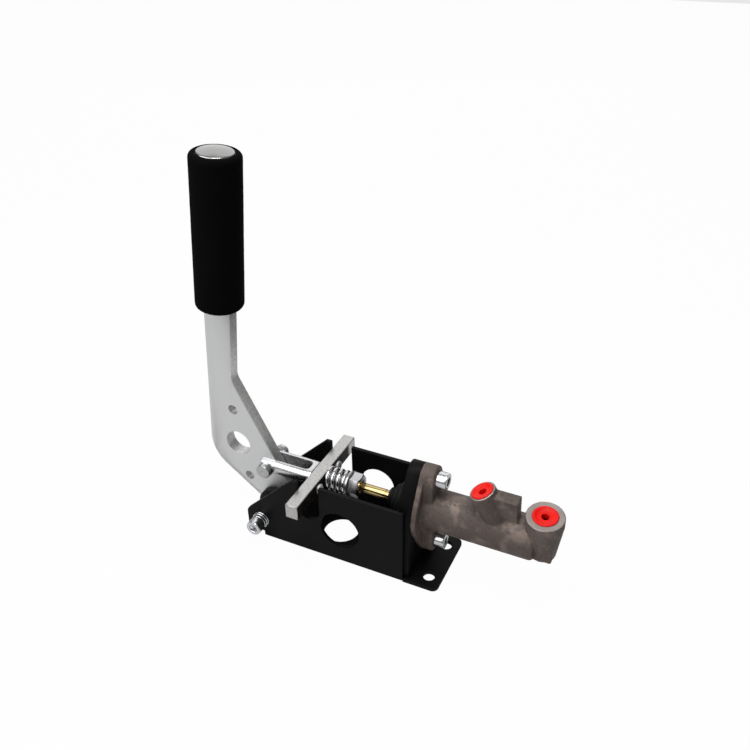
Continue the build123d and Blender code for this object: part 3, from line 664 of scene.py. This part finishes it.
def makeSocketScrew(name, headRadius, shankLength):
    shape = socketShape
    top, crown, shank = shape["headHeight"], shape["crown"], shape["shank"]
    stations = [(shank, -shankLength), (shank, -shape["neckStart"]), (shank + shape["neck"], 0.00001)]
    stations += [(headRadius + out, up) for out, up in shape["headFoot"]]
    stations += [(headRadius + out, top + up) for out, up in shape["headTop"]]
    stations += [(headRadius - 0.0001, top - crown), (headRadius - crown * 0.4, top - crown * 0.3),
                 (headRadius - crown, top)]
    piece = turnPiece(name, stations, shape["knurls"] * 2)
    editStart(piece)
    step = math.pi / shape["knurls"]

    # every other corner of the knurled band
    def valley(corner):
        spot = corner.co
        inBand = shape["bandFrom"] < spot.z < top - shape["bandBelowTop"]
        onSide = inBand and math.hypot(spot.x, spot.y) > headRadius * 0.98
        return onSide and round(math.atan2(spot.y, spot.x) / step) % 2 == 1

    choose(piece, valley)
    shrink = 1 - shape["knurlDepth"] * 2 / headRadius
    bpy.ops.transform.resize(value=(shrink, shrink, 1), center_override=(0, 0, 0))
    editEnd()
    side, depth, mouth = shape["socket"] * 2 / math.sqrt(3), shape["socketDepth"], shape["socketMouth"]
    socket = turnPiece("socket", [(side * 0.3, top - depth - shape["socketPoint"]), (side, top - depth),
                                  (side, top - mouth), (side + shape["socketFlare"], top + mouth)], 6)
    cutWith(piece, socket)
    smooth(piece, 28)
    return piece


flangeShape = {"head": 0.0065, "length": 0.0200, "spacing": 0.0572, "lowTwist": 0.35, "highTwist": 0.1}
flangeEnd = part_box("flange_bolts")[1][0]
halfSpacing = flangeShape["spacing"] / 2
lowScrew = makeSocketScrew("flangeScrewLow", flangeShape["head"], flangeShape["length"])
highScrew = duplicate(lowScrew, "flangeScrewHigh")
for screw, boltZ, twist in ((lowScrew, rodZ - halfSpacing, flangeShape["lowTwist"]),
                            (highScrew, rodZ + halfSpacing, flangeShape["highTwist"])):
    settle(screw, (flangeEnd - socketShape["headHeight"], 0, boltZ), alongRod, twist)
    hand(screw, "root", "zinc_steel", brightZinc, "flange_bolts")

hingeScrewShape = {"head": 0.0062, "length": 0.0600, "twist": 0.4}
boltLow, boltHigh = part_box("pivot_bolt")
hingeScrew = makeSocketScrew("hingeScrew", hingeScrewShape["head"], hingeScrewShape["length"])
headFoot = boltLow[1] + socketShape["headHeight"]
settle(hingeScrew, (hingeX, headFoot, hingeZ), towardNear, hingeScrewShape["twist"])
hand(hingeScrew, "root", "zinc_steel", brightZinc, "pivot_bolt")

hingeThreadShape = {"radius": 0.0040, "length": 0.0260, "pitch": 0.00125}
hingeThread = threadPiece("hingeThread", *hingeThreadShape.values())
settle(hingeThread, (hingeX, boltHigh[1] - hingeThreadShape["length"], hingeZ), towardFar)
hand(hingeThread, "root", "zinc_steel", brightZinc, "pivot_bolt")
print("socket screws made")

# washers of the hinge: two flat ones and a split one under the head, one under the nut
washerShape = {"inner": boltBore, "outer": 0.0067, "height": 0.0018, "edge": 0.0003}
washerStep = 0.00185  # from the first washer to the second
washerLow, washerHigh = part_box("pivot_washers")
firstWasher = ringPiece("hingeWasher1", *washerShape.values())
hingeWashers = [firstWasher, duplicate(firstWasher, "hingeWasher2"), duplicate(firstWasher, "hingeWasher3")]
washerPlaces = (washerLow[1], washerLow[1] + washerStep, washerHigh[1] - washerShape["height"])
for washer, washerY in zip(hingeWashers, washerPlaces):
    settle(washer, (hingeX, washerY, hingeZ), towardFar)
    hand(washer, "root", "zinc_steel", brightZinc, "pivot_washers")

splitShape = {
    "inner": boltBore, "outer": 0.0061, "height": 0.0019, "edge": 0.00025, "slant": (-0.25, 1, 0.12),
    "halfGap": 0.0005, "insideGap": 0.00046, "gapFrom": 0.003, "twist": 2.1, "offHead": 0.0001,
}


def makeSplitWasher():
    shape = splitShape
    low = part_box("pivot_spring_washer")[0]
    piece = ringPiece("splitWasher", shape["inner"], shape["outer"], shape["height"], shape["edge"], 60)
    editStart(piece, "FACE")
    for side in (shape["halfGap"], -shape["halfGap"]):
        bpy.ops.mesh.select_all(action="SELECT")
        bpy.ops.mesh.bisect(plane_co=(0, side, 0), plane_no=shape["slant"])
    slant = Vector(shape["slant"]).normalized()

    def inGap(face):
        spot = face.calc_center_median()
        return spot.x > shape["gapFrom"] and abs(spot.dot(slant)) < shape["insideGap"]

    choose(piece, inGap, "faces")
    bpy.ops.mesh.delete(type="FACE")
    bpy.ops.mesh.select_mode(type="EDGE")
    bpy.ops.mesh.select_all(action="DESELECT")
    bpy.ops.mesh.select_non_manifold()
    bpy.ops.mesh.edge_face_add()
    editEnd()
    tidyMesh(piece)
    smooth(piece, 35)
    settle(piece, (hingeX, low[1] + shape["offHead"], hingeZ), towardFar, shape["twist"])
    hand(piece, "root", "zinc_steel", brightZinc, "pivot_spring_washer")


makeSplitWasher()

# lock nut: a hexagon with a round collar that holds a black insert
lockNutShape = {"across": 0.013, "height": 0.0064, "chamfer": 0.0006, "bore": boltBore}
lockNutTwist = 0.3
collarStations = [(0.0053, 0.0), (0.0057, 0.0), (0.0057, 0.0009), (0.0055, 0.0014), (0.0049, 0.0016),
                  (0.0047, 0.0014), (0.0048, 0.0006)]
insertShape = {"inner": 0.00405, "outer": 0.0047, "height": 0.0012, "edge": 0.00015, "around": 40}
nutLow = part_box("pivot_nut")[0]
hingeNut = hexPiece("hingeNut", *lockNutShape.values())
settle(hingeNut, (hingeX, nutLow[1], hingeZ), towardFar, lockNutTwist)
hand(hingeNut, "root", "zinc_steel", brightZinc, "pivot_nut")
nutCollar = turnPiece("nutCollar", collarStations, 48, True)
smooth(nutCollar, 50)
settle(nutCollar, (hingeX, nutLow[1] + lockNutShape["height"], hingeZ), towardFar)
hand(nutCollar, "root", "zinc_steel", brightZinc, "pivot_nut")
nutInsert = ringPiece("nutInsert", *insertShape.values())
settle(nutInsert, (hingeX, nutLow[1] + lockNutShape["height"], hingeZ), towardFar)
hand(nutInsert, "root", "black_nylon", blackNylon, "pivot_nut")
print("hinge washers and nut made")

# black spacers: a broad disc with a soft rim beside the lever, a barrel out to the wall
spacerShape = {
    "bore": boltBore, "disc": 0.0135, "discDepth": 0.007, "barrel": 0.009, "rim": 0.0012,
    "root": 0.0016, "edge": 0.0004, "inner": 0.0052,
}


def makeSpacer(name, length):
    shape = spacerShape
    bore, disc, barrel, depth = shape["bore"], shape["disc"], shape["barrel"], shape["discDepth"]
    rim, root, edge = shape["rim"], shape["root"], shape["edge"]
    stations = [(bore, 0), (disc - rim * 0.5, 0), (disc, rim * 0.5)]
    stations += [(disc - rim * (1 - cosine), depth - rim * (1 - sine)) for sine, cosine in arc(0, 4, 22.5)]
    stations += [(barrel + root * (1 - sine), depth + root * (1 - cosine))
                 for sine, cosine in arc(0, 4, 22.5)]
    stations += [(barrel, length - edge), (barrel - edge, length), (bore, length)]
    piece = turnPiece(name, stations, 72, True)
    smooth(piece, 40)
    return piece


spacerInner = spacerShape["inner"]
nearSpacer = makeSpacer("spacerNear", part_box("pivot_spacers")[1][1] - spacerInner)
farSpacer = duplicate(nearSpacer, "spacerFar")
for spacer, direction in ((nearSpacer, towardNear), (farSpacer, towardFar)):
    settle(spacer, (hingeX, direction[1] * spacerInner, hingeZ), direction)
    hand(spacer, "root", "black_nylon", blackNylon, "pivot_spacers")

# clevis: fork, pin, its washer and nut
forkShape = {
    "side": 0.0055, "edge": 0.0011, "gap": 0.0052, "crotch": 0.0040, "throatCorner": 0.0032,
    "pinHole": 0.00305, "longEdge": 0.01, "past": 0.01,
}


def makeFork():
    shape = forkShape
    low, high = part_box("clevis_fork")
    piece = makeBlock("clevisFork", low, high)
    editStart(piece, "EDGE")
    choose(piece, lambda edge: abs(edge.verts[0].co.x - edge.verts[1].co.x) > shape["longEdge"], "edges")
    bpy.ops.mesh.bevel(offset=shape["side"], segments=8, affect="EDGES")
    editEnd()
    roundEdges(piece, shape["edge"], 3)
    throatEnd, past = high[0] - shape["crotch"], shape["past"]
    throat = makeBlock("throat", (low[0] - past, -shape["gap"], low[2] - past),
                       (throatEnd, shape["gap"], high[2] + past))

    # the two upright edges at the throat's blind end
    def throatCorner(edge):
        atEnd = all(corner.co.x > throatEnd - 0.001 for corner in edge.verts)
        return atEnd and abs(edge.verts[0].co.z - edge.verts[1].co.z) > shape["longEdge"]

    editStart(throat, "EDGE")
    choose(throat, throatCorner, "edges")
    bpy.ops.mesh.bevel(offset=shape["throatCorner"], segments=5, affect="EDGES")
    editEnd()
    cutWith(piece, throat)
    hole = turnPiece("hole", [(shape["pinHole"], -0.02), (shape["pinHole"], 0.02)], 32)
    settle(hole, (pinX, 0, rodZ), towardFar)
    cutWith(piece, hole)
    smooth(piece, 35)
    hand(piece, "link", "zinc_steel", forkZinc, "clevis_fork")


makeFork()

pinShape = {
    "shank": 0.0030, "shankEdge": 0.0005, "head": 0.0059, "headHeight": 0.0042, "footEdge": 0.0003,
    "edge": 0.0006, "dimple": ((0.0011, 0.00002), (0.0007, 0.0004)),
}


def makePin():
    shape = pinShape
    low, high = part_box("clevis_pin")
    shank, head, top, edge = shape["shank"], shape["head"], shape["headHeight"], shape["edge"]
    length, footEdge = high[1] - low[1] - top, shape["footEdge"]
    stations = [(shank - shape["shankEdge"], -length), (shank, -length + shape["shankEdge"]),
                (shank, -0.0001), (shank + 0.0002, 0), (head - footEdge, 0), (head, footEdge),
                (head, top - edge), (head - edge * 0.35, top - edge * 0.3), (head - edge, top)]
    stations += [(radius, top - down) for radius, down in shape["dimple"]]
    piece = turnPiece("clevisPin", stations, 64)
    smooth(piece, 35)
    settle(piece, (pinX, low[1] + top, rodZ), towardNear)
    hand(piece, "link", "zinc_steel", dullZinc, "clevis_pin")


makePin()

pinWasherShape = {"outer": 0.0064, "edge": 0.0003}
pinWasherLow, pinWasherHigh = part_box("clevis_pin_washer")
pinWasher = ringPiece("pinWasher", pinBore, pinWasherShape["outer"], pinWasherHigh[1] - pinWasherLow[1],
                      pinWasherShape["edge"])
settle(pinWasher, (pinX, pinWasherLow[1], rodZ), towardFar)
hand(pinWasher, "link", "zinc_steel", brightZinc, "clevis_pin_washer")

pinNutShape = {"across": 0.010, "chamfer": 0.0005}
pinNutLow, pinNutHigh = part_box("clevis_pin_nut")
pinNut = hexPiece("pinNut", pinNutShape["across"], pinNutHigh[1] - pinNutLow[1],
                  pinNutShape["chamfer"], pinBore)
settle(pinNut, (pinX, pinNutLow[1], rodZ), towardFar)
hand(pinNut, "link", "zinc_steel", brightZinc, "clevis_pin_nut")
print("clevis made")

# guide bar, brushed across, with painted shade on its rear face
guideBar = carryOver("cross_bar", "guideBar", 0.0)
hand(guideBar, "link", "brushed_aluminium", barBrushed, "cross_bar")
# the rear face gets the finish with painted shade
paintFaces(guideBar, barPaintedShade, lambda face: face.normal.x > 0.9)

# the bar's two round screws
barScrewShape = {
    "head": 0.0040, "height": 0.0030, "rim": 0.0009, "footEdge": ((-0.0002, 0.0), (0.0, 0.0003)),
    "socket": ((0.0006, -0.0021), (0.0015, -0.0016), (0.0015, 0.001)), "shank": 0.0030,
    "shankLength": 0.0095, "fromMiddle": 0.0155, "twist": 0.3,
}


def makeBarScrew(name):
    shape = barScrewShape
    head, height, shank, rim = shape["head"], shape["height"], shape["shank"], shape["rim"]
    stations = [(shank, -shape["shankLength"]), (shank, 0.0)]
    stations += [(head + out, up) for out, up in shape["footEdge"]]
    stations += [(head * cosine, rim + (height - rim) * sine) for sine, cosine in arc(0, 8, 9)]
    piece = turnPiece(name, stations, 40)
    cutWith(piece, turnPiece("socket", [(radius, height + up) for radius, up in shape["socket"]], 6))
    smooth(piece, 40)
    return piece


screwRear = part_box("bar_screws")[1][0]
nearBarScrew = makeBarScrew("barScrewNear")
farBarScrew = duplicate(nearBarScrew, "barScrewFar")
for barScrew, direction in ((nearBarScrew, towardNear), (farBarScrew, towardFar)):
    screwSpot = (screwRear - barScrewShape["height"], direction[1] * barScrewShape["fromMiddle"], rodZ)
    settle(barScrew, screwSpot, alongRod, barScrewShape["twist"])
    hand(barScrew, "link", "zinc_steel", mattZinc, "bar_screws")

# sleeve inside the coil spring
sleeveShape = {"outer": 0.0060, "edge": 0.0003}
sleeveLow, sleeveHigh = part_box("guide_sleeve")
sleeve = ringPiece("guideSleeve", rodBore, sleeveShape["outer"], sleeveHigh[0] - sleeveLow[0],
                    sleeveShape["edge"])
settle(sleeve, (sleeveLow[0], 0, rodZ), alongRod)
hand(sleeve, "link", "zinc_steel", dullZinc, "guide_sleeve")

# coil spring: its first and last part of a turn rise less, which closes its ends
springShape = {
    "wire": 0.0032, "radius": 0.0078, "turns": 3.9, "closed": 0.35, "closedPitch": 0.45,
    "startAngle": 0.6, "stepsPerTurn": 40,
}


def makeRodSpring():
    shape = springShape
    low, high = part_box("rod_spring")
    wire, radius, turns, closed = shape["wire"], shape["radius"], shape["turns"], shape["closed"]
    length = high[0] - low[0] - wire
    closedRise = wire * shape["closedPitch"] * closed
    openRise = length - 2 * closedRise
    openTurns = turns - 2 * closed
    steps = int(turns * shape["stepsPerTurn"])
    spiral = bpy.data.curves.new("rodSpring", "CURVE")
    spiral.dimensions = "3D"
    spiral.bevel_depth = wire / 2
    spiral.bevel_resolution = 5
    spiral.use_fill_caps = True
    line = spiral.splines.new("POLY")
    line.points.add(steps)
    for step in range(steps + 1):
        turn = turns * step / steps
        if turn < closed:
            rise = closedRise * turn / closed
        elif turn > turns - closed:
            rise = length - closedRise * (turns - turn) / closed
        else:
            rise = closedRise + openRise * (turn - closed) / openTurns
        angle = 2 * math.pi * turn + shape["startAngle"]
        line.points[step].co = (radius * math.cos(angle), radius * math.sin(angle), rise, 1)
    piece = bpy.data.objects.new("rodSpring", spiral)
    bpy.context.scene.collection.objects.link(piece)
    pick(piece)
    bpy.ops.object.convert(target="MESH")
    piece = bpy.context.object
    tidyMesh(piece)
    smooth(piece, 60)
    settle(piece, (low[0] + wire / 2, 0, rodZ), alongRod)
    hand(piece, "link", "zinc_steel", springSteel, "rod_spring")


makeRodSpring()

# the return spring inside the bore, which shortens towards its deep end as the piston moves in: a copy of its
# CAD node with a mesh of its own, not shortened here
returnCoil = carryOver("return_spring", "returnCoil", 0)
hand(returnCoil, "root", "zinc_steel", springSteel, "return_spring")
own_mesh(returnCoil)

# broad washer and adjusting nut behind the coil spring
broadShape = {"outer": 0.0104, "edge": 0.0004, "around": 72}
broadLow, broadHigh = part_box("spring_washer")
broadWasher = ringPiece("broadWasher", rodBore, broadShape["outer"], broadHigh[0] - broadLow[0],
                        broadShape["edge"], broadShape["around"])
settle(broadWasher, (broadLow[0], 0, rodZ), alongRod)
hand(broadWasher, "link", "zinc_steel", dullZinc, "spring_washer")

adjusterShape = {"across": 0.017, "chamfer": 0.0008, "turned": 60}
adjusterLow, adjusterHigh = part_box("adjuster_nut")
adjuster = hexPiece("adjusterNut", adjusterShape["across"], adjusterHigh[0] - adjusterLow[0],
                    adjusterShape["chamfer"], rodBore)
settle(adjuster, (adjusterLow[0], 0, rodZ), alongRod, math.radians(adjusterShape["turned"]))
hand(adjuster, "link", "zinc_steel", nutZinc, "adjuster_nut")
print("guide bar, spring and adjuster made")

# push rod: threaded as far as the adjusting nut, plain beyond, with a groove and a round tip
pushShape = {
    "radius": 0.0037, "thread": 0.0040, "pitch": 0.00125, "threadDepth": 0.00055,
    "startRadius": 0.85, "runOut": 0.001,
    # places from the thread's radius or the plain radius, and from the plain part's start
    "threadEnd": (-0.0002, -0.0003),
    "plainStart": ((-0.0002, 0.0), (0.0, 0.0004)),
    "groove": 0.0215,
    "grooveProfile": ((0.0, -0.0010), (-0.0005, -0.0007), (-0.0005, 0.0), (0.0, 0.0003)),
}


def makePushRod():
    shape = pushShape
    low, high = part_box("push_rod")
    radius, thread, pitch = shape["radius"], shape["thread"], shape["pitch"]
    start, plainStart, tip = low[0], adjusterHigh[0] + shape["runOut"], high[0]
    stations = [(thread * shape["startRadius"], start)]
    spot = start + pitch
    while spot < plainStart - pitch:
        stations += [(thread, spot), (thread - shape["threadDepth"], spot + pitch / 2)]
        spot += pitch
    stations.append((thread + shape["threadEnd"][0], plainStart + shape["threadEnd"][1]))
    stations += [(radius + out, plainStart + up) for out, up in shape["plainStart"]]
    stations += [(radius + out, shape["groove"] + up) for out, up in shape["grooveProfile"]]
    stations.append((radius, tip - radius))
    stations += [(radius * cosine, tip - radius * (1 - sine)) for sine, cosine in arc(1, 8, 11)]
    piece = turnPiece("pushRod", stations, 40)
    smooth(piece, 30)
    settle(piece, (0, 0, rodZ), alongRod)
    hand(piece, "link", "yellow_zinc", yellowZinc, "push_rod")


makePushRod()

# dust boot: soft folds between the clamped foot and the lip round the rod
bootShape = {
    "lip": 0.0044, "nose": 0.0070, "foot": 0.0175, "footWall": 0.0022,
    # places from the nose's radius, and from the lip
    "noseProfile": ((-0.0010, 0.0), (0.0, 0.0008), (0.0, 0.0022), (-0.0010, 0.0032), (0.0, 0.0040)),
    "folds": (
        (0.0096, 0.0047), (0.0110, 0.0056), (0.0112, 0.0066), (0.0104, 0.0074), (0.0112, 0.0082),
        (0.0132, 0.0088), (0.0146, 0.0098), (0.0148, 0.0108), (0.0140, 0.0117), (0.0146, 0.0125),
        (0.0162, 0.0131),
    ),
    "footStart": 0.0142,
    "inside": ((0.0136, 0.0128), (0.0126, 0.0114), (0.0092, 0.0078), (0.0084, 0.0060), (0.0062, 0.0044)),
    "lipDepth": 0.0034,
}


def makeDustBoot():
    shape = bootShape
    low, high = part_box("dust_boot")
    length = high[0] - low[0]
    lip, nose, foot = shape["lip"], shape["nose"], shape["foot"]
    footInside = foot - shape["footWall"]
    stations = [(lip, 0.0)] + [(nose + out, up) for out, up in shape["noseProfile"]] + list(shape["folds"])
    stations += [(foot, shape["footStart"]), (foot, length - 0.0003), (foot - 0.0004, length)]
    stations += [(footInside, length), (footInside, length - 0.002)] + list(shape["inside"])
    stations.append((lip, shape["lipDepth"]))
    piece = turnPiece("dustBoot", stations, 80, True)
    useModifier(piece, "SUBSURF", levels=1, render_levels=1)
    smooth(piece, 60)
    settle(piece, (low[0], 0, rodZ), alongRod)
    hand(piece, "root", "boot_rubber", bootRubber, "dust_boot")


makeDustBoot()
print("push rod and boot made")

# the ports' axes: both roll to the near side, and the inlet leans towards the flange
portShape = {"roll": 8, "inletTilt": 25, "outletX": 0.1419, "inletX": 0.1123}
roll, tiltBack = math.radians(portShape["roll"]), math.radians(portShape["inletTilt"])
outletAxis = Vector((0, -math.sin(roll), math.cos(roll)))
inletAxis = Vector((-math.sin(tiltBack), -math.sin(roll) * math.cos(tiltBack),
                    math.cos(roll) * math.cos(tiltBack)))
outletRoot = Vector((portShape["outletX"], 0, rodZ))
inletRoot = Vector((portShape["inletX"], 0, rodZ))

# shipping plugs: a flat rim, a dished face and a round hole
plugShape = {
    "head": 0.0020, "overhang": 0.0009, "hole": 0.00275, "dish": 0.0011, "edge": 0.0005,
    "depth": 0.0062, "leadInTop": 0.0058, "leadIn": 0.0003, "play": 0.00006,
    "underHead": ((-0.0001, 0.0), (0.0, 0.0002)),
}


def makePlug(name, root, axis, reach, portRadius, replaced):
    shape = plugShape
    top, hole, dish, edge = shape["head"], shape["hole"], shape["dish"], shape["edge"]
    outer, snug, low = portRadius + shape["overhang"], portRadius - shape["play"], top - shape["depth"]
    stations = [(hole, low), (portRadius - shape["leadIn"], low), (snug, top - shape["leadInTop"]),
                (snug, 0.0)]
    stations += [(outer + out, up) for out, up in shape["underHead"]] + [(outer, top - edge)]
    stations += [(outer - edge * (1 - cosine), top - edge * (1 - sine)) for sine, cosine in arc(1, 4, 22.5)]
    stations += [(outer - 0.0016, top), (outer - 0.0020, top - 0.0002), (outer - 0.0028, top - dish * 0.8),
                 (hole + 0.0016, top - dish), (hole + 0.0004, top - dish * 0.9), (hole, top - dish * 1.2)]
    piece = turnPiece(name, stations, 72, True)
    smooth(piece, 35)
    settle(piece, root + axis * (reach - top), axis)
    hand(piece, "root", "red_plastic", redPlastic, replaced)


makePlug("inletPlug", inletRoot, inletAxis, reach=0.038, portRadius=0.0073, replaced="inlet_plug")
makePlug("outletPlug", outletRoot, outletAxis, reach=0.027, portRadius=0.0082, replaced="outlet_plug")
print("plugs made")

# the outlet's flat-sided foot, its underside sloping up to the far side
footShape = {
    "low": (0.1330, -0.0090, 0.0420),
    "high": (0.1508, 0.0070, 0.0640),
    "farRise": 0.0085,
    "edge": 0.0012,
}


def makeOutletFoot():
    low, high = Vector(footShape["low"]), Vector(footShape["high"])
    middle = (low + high) / 2
    foot = makeBlock("outletFoot", low, high)
    editStart(foot)
    choose(foot, lambda corner: corner.co.y > middle.y and corner.co.z < middle.z)
    bpy.ops.transform.translate(value=(0, 0, footShape["farRise"]))
    editEnd()
    roundEdges(foot, footShape["edge"], 3)
    return foot


# master cylinder: a rough casting
castingShape = {"voxel": 0.00065, "softening": 2, "softFactor": 0.5, "lumps": (0.004, 0.00016), "kept": 0.5}


def makeCylinder():
    shape = castingShape
    piece = mergedCopy("cylinder_body", "cylinderCasting")
    foot = makeOutletFoot()
    pick(piece)
    foot.select_set(True)
    bpy.ops.object.join()
    useModifier(piece, "REMESH", mode="VOXEL", voxel_size=shape["voxel"])
    useModifier(piece, "SMOOTH", factor=shape["softFactor"], iterations=shape["softening"])
    roughen(piece, "lumps", *shape["lumps"])
    useModifier(piece, "DECIMATE", ratio=shape["kept"])
    smooth(piece, 60)
    hand(piece, "root", "casting", casting, "cylinder_body")


makeCylinder()

# smooth, machined rings on the port bosses; places from the boss's or the seat's radius
portRimShape = {
    "depth": -0.0015,
    "bossProfile": ((-0.0004, -0.0015), (-0.0002, -0.0002), (-0.0006, 0.0001)),
    "seatProfile": ((0.0002, 0.0001), (0.0, -0.0001)),
}


def makePortRim(name, root, axis, top, bossRadius, seatRadius):
    shape = portRimShape
    stations = [(seatRadius, shape["depth"])]
    stations += [(bossRadius + out, up) for out, up in shape["bossProfile"]]
    stations += [(seatRadius + out, up) for out, up in shape["seatProfile"]]
    piece = turnPiece(name, stations, 72, True)
    smooth(piece, 30)
    settle(piece, root + axis * top, axis)
    hand(piece, "root", "casting", machined, "cylinder_body")


makePortRim("inletRim", inletRoot, inletAxis, top=0.0372, bossRadius=0.0098, seatRadius=0.00826)
makePortRim("outletRim", outletRoot, outletAxis, top=0.0262, bossRadius=0.0137, seatRadius=0.00916)
print("cylinder made")

# bracket: the photograph shows its folds run on into the tail, so the relief cuts are closed
bracketShape = {"cutFront": 0.047, "cutRear": 0.049, "cutInner": 0.0231, "sheet": 0.003, "edge": 0.00035}


def makeBracket():
    shape = bracketShape
    piece = carryOver("base_bracket", "bracket", 0.0)
    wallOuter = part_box("base_bracket")[1][1]
    for near, far in ((-wallOuter, -shape["cutInner"]), (shape["cutInner"], wallOuter)):
        infill = makeBlock("infill", (shape["cutFront"], near, 0), (shape["cutRear"], far, shape["sheet"]))
        cutWith(piece, infill, "UNION")
    tidyMesh(piece, 1e-5)
    joinFlatFaces(piece)
    roundEdges(piece, shape["edge"], 2, 35)
    smooth(piece, 40)
    hand(piece, "root", "black_powder_coat", powderCoat, "base_bracket")


makeBracket()

# end plate with softened edges; lever, its edge brushed across except at the front
endPlateEdge = 0.0004
endPlate = carryOver("end_plate", "endPlate", endPlateEdge)
hand(endPlate, "root", "black_powder_coat", powderCoat, "end_plate")
leverPlate = carryOver("lever_plate", "leverPlate", 0.0)
hand(leverPlate, "lever", "brushed_aluminium", leverBrushed, "lever_plate")
paintFaces(leverPlate, leverEdge, lambda face: abs(face.normal.y) < 0.5 and face.normal.x > -0.3)
print("bracket, end plate and lever made")

# finishes of the CAD nodes, also of those that a detailed piece stands for
dressed = (
    (powderCoat, "base_bracket end_plate"),
    (casting, "cylinder_body"),
    (redPlastic, "inlet_plug outlet_plug"),
    (bootRubber, "dust_boot piston_seals"),
    (blackNylon, "pivot_spacers"),
    (leverBrushed, "lever_plate"),
    (barBrushed, "cross_bar"),
    (pistonTurned, "piston"),
    (bronze, "pivot_bush"),
    (gripFoam, "foam_grip"),
    (polishedCap, "grip_cap"),
    (yellowZinc, "push_rod"),
    (springSteel, "rod_spring return_spring"),
    (brightZinc, "flange_bolts stop_washer retaining_ring pivot_bolt"),
    (brightZinc, "pivot_washers pivot_spring_washer pivot_nut"),
    (brightZinc, "grip_core clevis_fork clevis_pin clevis_pin_washer clevis_pin_nut"),
    (dullZinc, "bar_screws guide_sleeve spring_washer adjuster_nut"),
)
for finish, names in dressed:
    for nodeName in names.split():
        nodes[nodeName].data.materials.clear()
        nodes[nodeName].data.materials.append(finish.material)

print("done")
